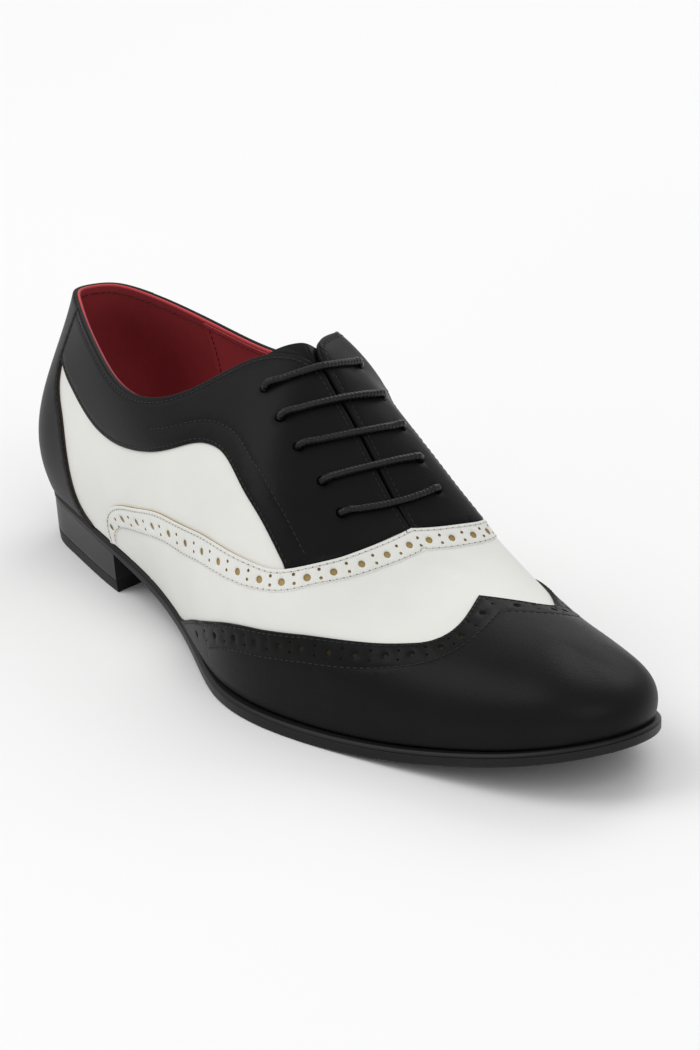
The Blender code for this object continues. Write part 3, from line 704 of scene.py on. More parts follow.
def surface(spots, height):
    """Points at a height over the upper's face, wrinkles included."""
    rows, v = place(spots[:, 0], spots[:, 1])
    rise = np.broadcast_to(height, rows.shape) + creases(spots)
    points = skin(rows, v) + outward(rows, v) * rise[:, None]
    row = spots[:, 0]
    beside = ease((row - SLOT_TOP_ROW - CLOSE_ROWS[0]) / CLOSE_ROWS[1])
    beside = beside * ease((v - CLOSE_HEIGHTS[0]) / CLOSE_HEIGHTS[1])
    beside = beside * np.clip((SLOT_END_ROW - row) / SLOT_FADE, 0, 1)
    points[:, 1] += SLOT_CLOSE * beside * np.where(spots[:, 1] <= 1, 1, -1)
    return points


def frame_at(spots):
    """Change of the face's points per row and per height."""
    row, w = spots.T
    cut = (row < SLOT_END_ROW) & (np.abs(w - 1) < CUT_NEAR)
    w = np.where(cut, np.where(w < 1, 1 - CUT_NEAR, 1 + CUT_NEAR), w)
    by_row = flat(np.stack([row + ROW_STEP, w], 1)) - flat(np.stack([row - ROW_STEP, w], 1))
    by_w = flat(np.stack([row, w + HEIGHT_STEP], 1)) - flat(np.stack([row, w - HEIGHT_STEP], 1))
    return by_row / (2 * ROW_STEP), by_w / (2 * HEIGHT_STEP)


def moved(spots, step):
    """Places reached from others by steps in true millimetres along the face."""
    a, b = frame_at(spots)
    aa, ab, bb = (a * a).sum(1), (a * b).sum(1), (b * b).sum(1)
    p, q = (step * a).sum(1), (step * b).sum(1)
    det = np.maximum(aa * bb - ab * ab, 1e-6)
    return spots + np.stack([(bb * p - ab * q) / det, (aa * q - ab * p) / det], 1)


def sideways(line, closed):
    """Unit directions to the left of a line on the face."""
    points = flat(line)
    if closed:
        tangent = np.roll(points, -1, 0) - np.roll(points, 1, 0)
    else:
        tangent = np.gradient(points, axis=0)
    return unit(np.cross(unit(np.cross(*frame_at(line))), tangent))


def inset(line, distance):
    """Line moved to its left over the face in short steps, without the stretches where it would fold over."""
    count = math.ceil(abs(distance) / INSET_STEP)
    step = distance / count
    for _ in range(count):
        out = moved(line, sideways(line, False) * step)
        gap = nearest(flat(out), flat(even(line, DENSE_STEP)))
        line = out[gap > abs(step) * INSET_KEPT]
    return line


def nearest(points, others):
    """Distance from each point to the nearest of the others."""
    tree = KDTree(len(others))
    for k, p in enumerate(others):
        tree.insert(p, k)
    tree.balance()
    return np.array([tree.find(p)[2] for p in points])


def even(line, step):
    """Open line resampled at even true distances."""
    reach = reaches(flat(line))
    at = np.linspace(0, reach[-1], max(int(round(reach[-1] / step)), 2) + 1)
    return np.stack([np.interp(at, reach, line[:, 0]), np.interp(at, reach, line[:, 1])], 1)


def smoothed(line, reach):
    """Line with its wobbles smoothed away over a distance, its ends kept."""
    line = even(line, 1.0)
    wide = int(3 * reach)
    weight = np.exp(-0.5 * (np.arange(-wide, wide + 1) / reach) ** 2)
    longer = np.concatenate([2 * line[0] - line[wide:0:-1], line, 2 * line[-1] - line[-2:-wide - 2:-1]])
    return np.stack([np.convolve(longer[:, k], weight / weight.sum(), "valid") for k in (0, 1)], 1)


def straight(start, end, count):
    """Straight line of the chart."""
    return np.linspace(start, end, count)


def mirrored(line):
    """The same places on the medial side, in the other order."""
    return np.stack([line[::-1, 0], 2 - line[::-1, 1]], 1)


def joined(*lines):
    """Lines end to end as one closed loop, shared corners kept once."""
    loop = np.concatenate([line[:-1] for line in lines])
    keep = np.linalg.norm((loop - np.roll(loop, 1, 0)) * CHART, axis=1) > JOIN_NEAR
    return loop[keep]


def circle(spot, radius, sides, stretch=1.0):
    """Round or long hole on the face, run so that the leather lies to its left."""
    spots = np.repeat(np.array(spot, float)[None], sides, 0)
    a, b = frame_at(spots)
    first = unit(a)
    second = np.cross(unit(np.cross(a, b)), first)
    turn = -np.arange(sides)[:, None] * 2 * np.pi / sides
    return moved(spots, radius * (stretch * np.cos(turn) * first + np.sin(turn) * second))


def inside(points, loops):
    """Whether places lie inside the loops, holes taken out."""
    odd = np.zeros(len(points), bool)
    for loop in loops:
        low, high = loop.min(0), loop.max(0)
        near = np.flatnonzero(((points >= low) & (points <= high)).all(1))
        after = np.roll(loop, -1, 0)
        rise = np.where(after[:, 1] == loop[:, 1], 1, after[:, 1] - loop[:, 1])
        for part in np.array_split(near, len(near) // CHUNK + 1):
            x, y = points[part, 0][:, None], points[part, 1][:, None]
            spans = (loop[:, 1] > y) != (after[:, 1] > y)
            at = loop[:, 0] + (y - loop[:, 1]) * (after[:, 0] - loop[:, 0]) / rise
            odd[part] ^= ((spans & (x < at)).sum(1) % 2).astype(bool)
    return odd


def mesh_object(name, points, faces, materials, index=None, sharp=50):
    """Object from points in drawn millimetres, placed on the frame."""
    mesh = bpy.data.meshes.new(name)
    mesh.from_pydata(on_frame(points).tolist(), [], faces)
    for mat in materials:
        mesh.materials.append(mat)
    if index is not None:
        mesh.polygons.foreach_set("material_index", np.asarray(index, np.int32))
    mesh.shade_smooth()
    mesh.set_sharp_from_angle(angle=math.radians(sharp))
    mesh.update()
    obj = bpy.data.objects.new(name, mesh)
    bpy.context.scene.collection.objects.link(obj)
    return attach(obj, "root")


def on_rows(spots, rows):
    """Whether places lie on one of some rows."""
    return (np.abs(spots[:, :1] - np.array(rows)) < SAME_ROW).any(1)


def sheet_places(outlines, loops, furrows, rings, grid, weld, marks):
    """Places of a sheet's mesh and their depths: borders, then rings, marks, furrows and field."""
    drop = []
    for loop in loops:
        on_weld = on_rows(loop, weld)
        ends = on_weld & ~(np.roll(on_weld, 1) & np.roll(on_weld, -1))
        share = PUNCH_ROUND if len(loop) <= PUNCH_SIDES else 1
        drop.append(np.where(~on_weld | ends, rings[0][1] * share, 0))
    spots = list(loops)
    wall = flat(np.concatenate(loops))
    inner = []
    for loop in loops:
        if len(loop) <= PUNCH_SIDES:
            continue
        free = ~on_rows(loop, weld)
        for distance, depth in rings[1:]:
            ring = moved(loop, sideways(loop, True) * distance)[free]
            ring = ring[inside(ring, loops)]
            ring = ring[nearest(flat(ring), wall) > distance * RING_KEPT]
            inner.append((ring, depth, RING_GAP))
    for line in marks:
        inner.append((line[inside(line, loops)], 0, MARK_GAP))
    for line in furrows:
        line = even(line, FURROW_STEP)
        for side, depth in ((0, FURROW_DEPTH), (FURROW_HALF, 0), (-FURROW_HALF, 0)):
            track = moved(line, sideways(line, False) * side) if side else line
            track = track[inside(track, loops)]
            track = track[nearest(flat(track), wall) > FURROW_CLEAR]
            inner.append((track, depth, FURROW_GAP))
    low = np.concatenate(outlines).min(0)
    high = np.concatenate(outlines).max(0)
    u, w = np.meshgrid(np.arange(low[0], high[0], grid[0]), np.arange(low[1], high[1], grid[1]))
    u = u + (np.arange(len(u)) % 2)[:, None] * grid[0] / 2
    field = np.stack([u.ravel(), w.ravel()], 1)
    inner.append((field[inside(field, loops)], 0, FIELD_GAP))
    for extra, depth, gap in inner:
        if len(extra):
            extra = extra[nearest(flat(extra), flat(np.concatenate(spots))) > gap]
            spots.append(extra)
            drop.append(np.full(len(extra), float(depth)))
    return np.concatenate(spots), np.concatenate(drop)


def sheet_triangles(spots, loops):
    """Places and triangles of the mesh inside the loops, and which of the given places each one is."""
    edges = []
    count = 0
    for loop in loops:
        edges += [(count + i, count + (i + 1) % len(loop)) for i in range(len(loop))]
        count += len(loop)
    chart = [Vector(p) for p in spots * CHART]
    made, _, tris, origin, _, _ = delaunay_2d_cdt(chart, edges, [], 0, CHART_NEAR, True)
    made = np.array([v[:] for v in made]) / CHART
    source = np.array([o[0] if o else -1 for o in origin])
    known = source >= 0
    made[known] = spots[source[known]]
    tris = np.array(tris)
    tris = tris[inside(made[tris].mean(1), loops)]
    a, b, c = (made[tris[:, k]] for k in range(3))
    area = (b[:, 0] - a[:, 0]) * (c[:, 1] - a[:, 1]) - (b[:, 1] - a[:, 1]) * (c[:, 0] - a[:, 0])
    tris[area < 0] = tris[area < 0][:, ::-1]
    return made, tris[np.abs(area) > SLIVER], source


def welded(made, weld):
    """Number of each place, where medial places on a welded row take those of their lateral twins."""
    same = np.arange(len(made))
    for row in weld:
        line = np.flatnonzero(on_rows(made, (row,)))
        lateral = {round(made[i, 1], 6): i for i in line if made[i, 1] <= 1}
        for i in line:
            if made[i, 1] > 1:
                same[i] = lateral[round(2 - made[i, 1], 6)]
    return same


def sheet(name, outlines, materials, top, base, holes=(), furrows=(), rings=RINGS, grid=GRID, weld=(),
          paint=None, edge=0, under=0, marks=()):
    """Leather cut from the upper's face: a closed sheet with rounded borders, holes and stitch furrows."""
    loops = list(outlines) + list(holes)
    spots, drop = sheet_places(outlines, loops, furrows, rings, grid, weld, marks)
    made, tris, source = sheet_triangles(spots, loops)
    sunk = np.where(source >= 0, drop[source], 0)
    index = paint(made[tris]) if paint else np.zeros(len(tris), int)
    tris = welded(made, weld)[tris]
    # Triangles that the weld folds onto each other or flattens are left out
    corners = np.sort(tris, 1)
    _, first, times = np.unique(corners, axis=0, return_index=True, return_counts=True)
    keep = np.sort(first[times == 1])
    keep = keep[(np.diff(corners[keep], axis=1) > 0).all(1)]
    used = np.unique(tris[keep])
    number = np.full(len(made), -1)
    number[used] = np.arange(len(used))
    tris = number[tris[keep]]
    made = made[used]
    n = len(made)
    height = top(made) if callable(top) else np.full(n, float(top))
    points = np.concatenate([surface(made, height - sunk[used]), surface(made, base)])
    # A side that only one triangle has is a border, and gets a wall
    sides = np.concatenate([tris[:, [0, 1]], tris[:, [1, 2]], tris[:, [2, 0]]])
    seen = {}
    for p, q in sides.tolist():
        key = (min(p, q), max(p, q))
        seen[key] = None if key in seen else (p, q)
    walls = [(p, p + n, q + n, q) for p, q in filter(None, seen.values())]
    faces = tris.tolist() + (tris[:, ::-1] + n).tolist() + walls
    index = np.concatenate([index[keep], np.full(len(tris), under), np.full(len(walls), edge)])
    return mesh_object(name, points, faces, materials, index)


def grid_faces(rows, cols, closed):
    """Quads of a grid of points, its columns closed into rings or open."""
    faces = []
    for i in range(rows - 1):
        for j in range(cols if closed else cols - 1):
            k = (j + 1) % cols
            faces.append((i * cols + j, i * cols + k, (i + 1) * cols + k, (i + 1) * cols + j))
    return faces


def cord(path, radius, sides, relief):
    """Points and faces of a closed round cord along a path, with flat ends and relief on its radius."""
    tangent = unit(np.gradient(path, axis=0))
    across = [unit(np.cross(tangent[0], CORD_SIDE))]
    for t in tangent[1:]:
        across.append(unit(across[-1] - t * (across[-1] @ t)))
    a = np.array(across)
    b = np.cross(tangent, a)
    angle = np.arange(sides) * 2 * np.pi / sides
    r = radius + relief(reaches(path)[:, None], angle[None, :])
    ring = a[:, None] * np.cos(angle)[None, :, None] + b[:, None] * np.sin(angle)[None, :, None]
    points = (path[:, None] + ring * r[..., None]).reshape(-1, 3)
    faces = grid_faces(len(path), sides, True)
    faces += [tuple(range(sides))[::-1], tuple(range(len(points) - sides, len(points)))]
    return points, faces


def smooth_path(points, step):
    """Smooth curve through points, resampled at even distances."""
    p = np.asarray(points, float)
    knots = reaches(p)
    dense = spline(knots, p, np.linspace(0, knots[-1], 40 * len(p)))
    reach = reaches(dense)
    at = np.linspace(0, reach[-1], int(reach[-1] / step) + 1)
    return np.stack([np.interp(at, reach, dense[:, k]) for k in range(3)], 1)


def stitch_row(line, height, pitch, marks=False):
    """Middles, directions and outward directions of the stitches, or of the dark marks between them that
    paint the shade of the needle holes.
    """
    spots = even(line, pitch / 2)
    path = surface(spots, height(spots) if callable(height) else height)
    first = 2 if marks else 1
    at = np.arange(first, len(spots) - 1, 2)
    return path[at], unit(path[at + 1] - path[at - 1]), outward(*place(spots[at, 0], spots[at, 1]))


def stitches(name, rows, material, size=STITCH_SIZE):
    """All stitches of some rows as one piece: small capsules lying in the leather."""
    sides = STITCH_SIDES
    along_it = np.array(STITCH_ALONG) * size[0]
    girth = np.array(STITCH_GIRTH) * size[1] / 2
    angle = np.arange(sides) * 2 * np.pi / sides
    local = np.stack([np.repeat(along_it, sides), (girth[:, None] * np.cos(angle)).ravel(),
                      (girth[:, None] * np.sin(angle)).ravel()], 1)
    pattern = [f[::-1] for f in grid_faces(len(along_it), sides, True)]
    pattern += [tuple(range(sides)), tuple(range(len(local) - sides, len(local)))[::-1]]
    centre, ahead, up = (np.concatenate(column) for column in zip(*rows))
    side = unit(np.cross(up, ahead))
    up = np.cross(ahead, side)
    points = (centre[:, None] + local[None, :, :1] * ahead[:, None] + local[None, :, 1:2] * side[:, None]
              + local[None, :, 2:] * up[:, None])
    faces = []
    for k in range(len(centre)):
        faces += [tuple(i + k * len(local) for i in f) for f in pattern]
    return mesh_object(name, points.reshape(-1, 3), faces, [material])


def add(tree, kind, **values):
    """Shader node with its sockets or settings given by name."""
    node = tree.nodes.new("ShaderNode" + kind)
    for key, value in values.items():
        name = key.replace("_", " ")
        if name in node.inputs:
            node.inputs[name].default_value = value
        else:
            setattr(node, key, value)
    return node


# Leather: stops of the tone, spread of the gloss below and above, fine grain over pores, depth in metres
TONE_STOPS = (0.3, 0.72)
GLOSS_SPREAD = (0.05, 0.07)
FINE_GRAIN = 1.7
GRAIN_DEPTH = 0.0002


def surface_material(name, dark, light, rough, grain, bump, level, coat=0.0, coat_rough=0.2, broad=22.0):
    """Leather-like material: broad tone changes, fine grain in relief, uneven gloss."""
    mat = bpy.data.materials.new(name)
    mat.use_nodes = True
    tree = mat.node_tree
    link = tree.links.new
    shader = tree.nodes["Principled BSDF"]
    shader.inputs["Specular IOR Level"].default_value = level
    shader.inputs["Coat Weight"].default_value = coat
    shader.inputs["Coat Roughness"].default_value = coat_rough
    where = add(tree, "TexCoord")
    cloud = add(tree, "TexNoise", Scale=broad, Detail=4.0, Roughness=0.6)
    tone = add(tree, "ValToRGB")
    for stop, position, color in zip(tone.color_ramp.elements, TONE_STOPS, (dark, light)):
        stop.position = position
        stop.color = (*color, 1)
    gloss = add(tree, "MapRange", To_Min=rough - GLOSS_SPREAD[0], To_Max=rough + GLOSS_SPREAD[1])
    pores = add(tree, "TexVoronoi", Scale=grain, feature="SMOOTH_F1", Smoothness=0.4)
    fine = add(tree, "TexNoise", Scale=grain * FINE_GRAIN, Detail=3.0)
    both_of = add(tree, "Math", operation="ADD")
    relief = add(tree, "Bump", Strength=bump, Distance=GRAIN_DEPTH)
    for texture in (cloud, pores, fine):
        link(where.outputs["Object"], texture.inputs["Vector"])
    link(cloud.outputs["Fac"], tone.inputs["Fac"])
    link(tone.outputs["Color"], shader.inputs["Base Color"])
    link(cloud.outputs["Fac"], gloss.inputs["Value"])
    link(gloss.outputs["Result"], shader.inputs["Roughness"])
    link(pores.outputs["Distance"], both_of.inputs[0])
    link(fine.outputs["Fac"], both_of.inputs[1])
    link(both_of.outputs["Value"], relief.inputs["Height"])
    link(relief.outputs["Normal"], shader.inputs["Normal"])
    return mat


# Finishes: dark and light tone, roughness, grain scale, bump, specular level, and any coat with its roughness
FINISHES = {
    "white_leather": ((0.72, 0.72, 0.685), (0.78, 0.78, 0.745), 0.46, 1500, 0.10, 0.3),
    "black_leather": ((0.0036, 0.0036, 0.004), (0.007, 0.007, 0.0075), 0.40, 1400, 0.18, 0.08, 0.03, 0.3),
    "tan_edge": ((0.30, 0.21, 0.075), (0.44, 0.33, 0.14), 0.75, 2200, 0.25, 0.2),
    "brown_edge": ((0.022, 0.016, 0.009), (0.045, 0.033, 0.018), 0.7, 2200, 0.25, 0.15),
    "black_edge": ((0.006, 0.005, 0.004), (0.012, 0.010, 0.008), 0.6, 2200, 0.25, 0.2),
    # Bottoms of the wing cap's punched holes: painted shade, a dim brown kept a little above black for faint
    # painted light there
    "hole_bottom_shade": ((0.022, 0.018, 0.012), (0.045, 0.037, 0.025), 0.8, 1800, 0.2, 0.2),
    "red_lining": ((0.29, 0.035, 0.042), (0.40, 0.050, 0.060), 0.6, 1300, 0.15, 0.3),
    "red_front": ((0.34, 0.041, 0.050), (0.46, 0.058, 0.069), 0.6, 1300, 0.15, 0.3),
    # Folded rim of the lining: the lining's red made brighter, a painted highlight on the rim
    "lit_red_piping": ((0.52, 0.038, 0.046), (0.62, 0.055, 0.062), 0.45, 1500, 0.1, 0.4),
    "sole_black": ((0.005, 0.005, 0.005), (0.010, 0.010, 0.010), 0.42, 2600, 0.08, 0.2),
    "heel_stack": ((0.017, 0.017, 0.017), (0.025, 0.025, 0.025), 0.38, 2400, 0.05, 0.2),
    "heel_rubber": ((0.005, 0.005, 0.005), (0.009, 0.009, 0.009), 0.6, 2600, 0.15, 0.3),
    "lace_cord": ((0.003, 0.003, 0.003), (0.007, 0.007, 0.007), 0.29, 3000, 0.3, 0.26),
    "black_thread": ((0.006, 0.006, 0.006), (0.012, 0.012, 0.012), 0.45, 4000, 0.2, 0.3),
    "white_thread": ((0.55, 0.55, 0.50), (0.70, 0.70, 0.65), 0.6, 4000, 0.2, 0.3),
    "red_thread": ((0.05, 0.008, 0.010), (0.08, 0.012, 0.015), 0.6, 4000, 0.2, 0.3),
    # Needle holes of the white strip's seams: dark grey painted shade
    "needle_hole_shade": ((0.10, 0.095, 0.08), (0.20, 0.19, 0.16), 0.8, 4000, 0.1, 0.2),
}
FLOOR_PAPER = ((0.90, 0.90, 0.90), (0.92, 0.92, 0.92), 0.9, 60, 0.02, 0.1)
FLOOR_BROAD = 1.0
LOOK = {name: surface_material(name, *finish) for name, finish in FINISHES.items()}


def cut_border(rows):
    """Lateral border of the collar and the slot, a hair below the top of the ribs."""
    return np.stack([rows, 1 - (1 - RIM) * np.clip((SLOT_END_ROW - rows) / SLOT_FADE, 0, 1)], 1)


def upper_outline(foot, step, slot_drop=0.0):
    """Outline of the whole upper in the chart, cut open along collar and slot."""
    ridge = np.linspace(foot, RIM, int(60 * (RIM - foot)))
    heel = np.stack([0 * ridge, ridge], 1)
    toe = np.stack([TOE_ROW + np.zeros(91), np.linspace(foot, 2 - foot, 91)], 1)
    border = cut_border(np.linspace(SLOT_END_ROW, 0, 600))
    front, back = LINING_DROP_BLEND
    in_slot = ease((SLOT_END_ROW - border[:, 0]) / front) * ease((border[:, 0] - LINING_DROP_ROW) / back)
    border[:, 1] -= slot_drop * in_slot
    border = even(border, step)
    floor = even(straight((0, foot), (TOE_ROW, foot), 300), step * 1.5)
    return joined(floor, toe, mirrored(floor), mirrored(heel[::-1]), mirrored(border), border, heel[::-1])


def wing_line():
    """Border of the wing cap, medial tail to lateral tail by way of the peak."""
    lateral = even(run(WING_EDGE, 400), BORDER_STEP)
    return np.concatenate([mirrored(lateral)[::-1], lateral[-2::-1]])


def wing_outline():
    """Outline of the wing cap, closed round the toe."""
    toe_w = np.linspace(PANEL_FOOT, 2 - PANEL_FOOT, 91)
    toe = np.stack([TOE_ROW + 0 * toe_w, toe_w], 1)
    floor = even(straight((WING_TAIL_ROW, PANEL_FOOT), (TOE_ROW, PANEL_FOOT), 300), BORDER_STEP)
    line = wing_line()
    tail = even(np.array((line[-1], floor[0])), BORDER_STEP)
    return joined(floor, toe, mirrored(floor), mirrored(tail), line, tail, tail[-1:])


def strip_lines():
    """Upper and lower border of the punched strip, lateral waist to medial waist."""
    last = len(STRIP) - 1
    fine = spline(np.arange(last + 1), STRIP, np.linspace(STRIP_START, last, 300))
    fine = columns(STRIP_COLUMNS, fine)
    up = np.stack([fine["row_up"], np.minimum(fine["v_up"], 1)], 1)
    low = np.stack([fine["row_low"], np.minimum(fine["v_low"], 1)], 1)
    halves = [smoothed(line, STRIP_SMOOTH) for line in (up, low)]
    return [np.concatenate([line, mirrored(line)[1:]]) for line in halves]


def strip_outline():
    """Outline of the punched strip, its ends cut along the sole."""
    up, low = strip_lines()
    ends = [even(np.array(pair), END_STEP) for pair in ((low[-1], up[-1]), (up[0], low[0]))]
    return joined(low, ends[0], up[::-1], ends[1], low[:1])


def facing_lines():
    """Lower border, foot under the strip, rim with slot edge, and back border of the lateral facing."""
    edge = even(run((FACING_START,) + FACING_EDGE, 300), BORDER_STEP)
    foot = inset(run(FACING_FOOT + (FOOT_END,), 200), -FOOT_TUCK)
    foot = even(foot[foot[:, 1] < FOOT_TOP], BORDER_STEP)
    top = even(cut_border(np.linspace(foot[-1, 0], FACING_BACK_ROW, 400)), RIM_STEP)
    top[:, 1] = np.minimum(top[:, 1], FACING_RIM)
    back = even(np.array((top[-1], edge[0])), BORDER_STEP)
    return edge, foot, top, back


def facing_outline():
    """Outline of the lateral facing and collar band."""
    edge, foot, top, back = facing_lines()
    return joined(edge, foot, np.array((foot[-1], top[0])), top, back, edge[:1])


def counter_border():
    """Front border of the counter's lateral half, from the sole up to the rim."""
    border = run(COUNTER_EDGE, 300)
    return even(border[(border[:, 1] > PANEL_FOOT) & (border[:, 1] < RIM)], BORDER_STEP)


def counter_outline():
    """Outline of the lateral half of the heel counter."""
    border = counter_border()
    floor = even(straight((0, PANEL_FOOT), (border[0, 0], PANEL_FOOT), 120), COUNTER_FLOOR_STEP)
    rim = even(straight((border[-1, 0], RIM), (0, RIM), 120), RIM_STEP)
    heel = np.stack([np.zeros(60), np.linspace(RIM, PANEL_FOOT, 60)], 1)
    return joined(floor, border, np.array((border[-1], rim[0])), rim, heel, heel[-1:])


def facing_seams():
    """Stitch lines of the lateral facing: along rim and slot, and twice along the lower border."""
    edge, _, top, _ = facing_lines()
    inner = inset(edge[edge[:, 0] > FACING_INNER_ROW], FACING_INNER_SEAM)
    return [inset(top, FACING_RIM_SEAM), inset(edge, FACING_EDGE_SEAM), inner]


def wing_seams():
    """Stitch lines of the wing cap, outside and inside its punched row."""
    outer, inner = (inset(wing_line(), away) for away in WING_SEAMS)
    shown = (inner[:, 0] > WING_SEAM_ROW) & (np.abs(inner[:, 1] - 1) < WING_SEAM_FOOT)
    return [outer, inner[shown]]


def strip_seams():
    """Stitch lines of the punched strip, under its upper border and along its lower one."""
    up, low = strip_lines()
    return [inset(up[::-1], STRIP_UP_SEAM), inset(low, STRIP_LOW_SEAM)]


def counter_seams():
    """Stitch lines along the counter's front borders."""
    seam = inset(counter_border(), COUNTER_SEAM)
    return [seam, mirrored(seam)]


def strip_top(spots):
    """Height of the strip: thin at its lower border, raised at its upper one."""
    up, low = strip_lines()
    to_low = nearest(flat(spots), flat(low))
    to_up = nearest(flat(spots), flat(up))
    return STRIP_LOW + (STRIP_TOP - STRIP_LOW) * to_low / (to_low + to_up)


def hole_stretch(spot):
    """Length of a punched hole over its width: longer where the strip bends down at the waist."""
    row = spot[0]
    back = ease((STRETCH_ROW - row) / STRETCH_RUN)
    return 1 + HOLE_STRETCH * back * ease((row - STRETCH_END[0]) / STRETCH_END[1])


def both_sides(table):
    """Places of a lateral row, carried on over the ridge to the medial side."""
    side = np.array(table, float)
    return np.concatenate([side, mirrored(side)])


def row_of_holes(spots, big, small, spread, lean=0.0):
    """Punched pattern along a line of places: big holes with a pair of small ones between."""
    mids = (spots[1:] + spots[:-1]) / 2
    mids[len(spots) // 2 - 1, 0] += lean
    holes = [circle(s, big, BIG_SIDES, hole_stretch(s)) for s in spots]
    across = sideways(spots, False)
    across = unit(across[1:] + across[:-1])
    for step in (spread, -spread):
        holes += [circle(s, small, SMALL_SIDES, hole_stretch(s)) for s in moved(mids, across * step)]
    return holes


def eyelets(medial, radius):
    """Lace holes of one side."""
    return [circle((row, 2 - v if medial else v), radius, EYELET_SIDES) for row, v, _ in LACING]


def all_eyelets():
    """Lace holes of both sides in the layers under the facings, a little wider than in the facings."""
    return [hole for medial in (False, True) for hole in eyelets(medial, EYELET_RADIUS + EYELET_SPARE)]


def upper():
    """White upper, painted black or tan where the panels lie over it, and dim brown under the wing cap as
    painted shade for the bottoms of its punched holes.
    """
    facing = facing_outline()
    black = [facing, mirrored(facing), counter_outline(), mirrored(counter_outline())]
    cap = [wing_outline()]
    band = [strip_outline()]

    def paint(triangles):
        spots = triangles.reshape(-1, 2)
        rim = (np.abs(spots[:, 1] - 1) < PAINT_RIM) & (spots[:, 0] < PAINT_RIM_ROW)
        foot = (np.abs(spots[:, 1] - 1) > PAINT_FOOT) & (np.abs(spots[:, 0] - WAIST_ROW) > WAIST_HALF)
        under_cap = inside(spots, cap)
        covered = [under_cap, inside(spots, band), inside(spots, black) | rim | foot | under_cap]
        whole = [corners.reshape(-1, 3).all(1) for corners in covered]
        # Under the wing cap the upper takes the painted shade of the hole bottoms
        return np.select(whole, (HOLE_SHADE, TAN, BLACK), WHITE)

    up, low = strip_lines()
    marks = [even(inset(line, away), MARK_STEP) for line in (up[::-1], low) for away in BAND_MARKS]
    looks = [LOOK[name] for name in ("white_leather", "black_leather", "tan_edge", "hole_bottom_shade")]
    piece = sheet("upper_leather", [upper_outline(0.0, UPPER_STEP)], looks, 0, LEATHER_UNDER, all_eyelets(),
                  rings=UPPER_RINGS, weld=(0, TOE_ROW), paint=paint, edge=BLACK, under=BLACK, marks=marks)
    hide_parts("upper")


def lining():
    """Red lining of the whole upper, with the piping of its rim in a brighter red that paints a highlight on
    it.
    """
    outline = upper_outline(LINING_FOOT, LINING_STEP, LINING_SLOT_DROP)
    piece = sheet("lining", [outline], [LOOK["red_lining"]], LINING_OVER, LINING_UNDER, all_eyelets(),
                  rings=FLAT_RINGS, grid=LINING_GRID, weld=(0, TOE_ROW))
    rows = np.linspace(-PIPING_ROW, PIPING_END_ROW, 65)
    rim = skin(rows, np.full(len(rows), RIM)) + outward(rows, np.full(len(rows), RIM)) * PIPING_DEPTH
    path = smooth_path(rim, PIPING_STEP)
    length = PIPING_STEP * (len(path) - 1)

    def taper(reach, angle):
        to_end = np.minimum(reach, length - reach)
        return 0 * angle - PIPING_FADE * PIPING_RADIUS * (1 - ease(to_end / PIPING_TAPER))

    # The piping's brighter red is a painted highlight on the lining's folded rim
    piping = mesh_object("rim_piping", *cord(path, PIPING_RADIUS, PIPING_SIDES, taper), [LOOK["lit_red_piping"]])


def facings():
    """Black lace facings and collar bands."""
    outline = facing_outline()
    for medial in (False, True):
        shape_of = mirrored(outline) if medial else outline
        piece = sheet("facing_leather_medial" if medial else "facing_leather_lateral", [shape_of],
                      [LOOK["black_leather"], LOOK["black_edge"]], FACING_TOP, PANEL_BASE,
                      eyelets(medial, EYELET_RADIUS),
                      [mirrored(line) if medial else line for line in facing_seams()], edge=1)
        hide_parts("facing_medial" if medial else "facing_lateral")


def wing():
    """Black wing cap with its punched row."""
    spots = both_sides(WING_HOLES)
    away = nearest(flat(spots), flat(wing_line()))
    spots = moved(spots, sideways(spots, False) * (away - WING_HOLES_IN)[:, None])
    holes = row_of_holes(spots, *WING_PUNCH)
    piece = sheet("wing_cap_leather", [wing_outline()], [LOOK["black_leather"], LOOK["brown_edge"]],
                  WING_TOP, PANEL_BASE, holes, wing_seams(), weld=(TOE_ROW,), edge=1)
    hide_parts("wing_cap")


def strip():
    """White punched strip, thin at its lower border and raised at its upper one."""
    spots = both_sides(STRIP_HOLES)
    to_up, to_low = (nearest(flat(spots), flat(line)) for line in strip_lines())
    spots = moved(spots, sideways(spots, False) * ((to_up - to_low) / 2 - HOLE_LOW)[:, None])
    holes = row_of_holes(spots, *STRIP_PUNCH, RIDGE_LEAN * (1 - STRIP_HOLES[-1][1]))
    piece = sheet("brogue_band", [strip_outline()], [LOOK["white_leather"], LOOK["tan_edge"]], strip_top,
                  PANEL_BASE, holes, strip_seams(), grid=STRIP_GRID, edge=1)
    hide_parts("brogue_strip")


def counter():
    """Black heel counter."""
    outline = counter_outline()
    piece = sheet("counter_leather", [outline, mirrored(outline)],
                  [LOOK["black_leather"], LOOK["brown_edge"]], COUNTER_TOP, PANEL_BASE,
                  furrows=counter_seams(), weld=(0,), edge=1)
    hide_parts("counter")


def lining_front():
    """Front quarters of the lining, lapped over its heel piece."""
    rows = np.linspace(FRONT_END_ROW, LINING_SEAM_ROW, 200)
    rim = np.stack([rows, np.full(len(rows), FRONT_RIM)], 1)
    share = np.linspace(0, 1, 60)
    start, rise, bow = FRONT_LOW
    low = np.stack([rows[-1] + (rows[0] - rows[-1]) * share,
                    start + rise * share - bow * np.sin(np.pi * share)], 1)
    near, far = FRONT_STEPS
    outline = joined(even(rim, near), even(np.array((rim[-1], low[0])), near), even(low, far),
                     even(np.array((low[-1], rim[0])), far), rim[:1])
    for medial in (False, True):
        piece = sheet("lining_front_medial" if medial else "lining_front_lateral",
                      [mirrored(outline) if medial else outline], [LOOK["red_front"]], FRONT_OVER,
                      FRONT_UNDER, rings=FLAT_RINGS, grid=LINING_GRID)


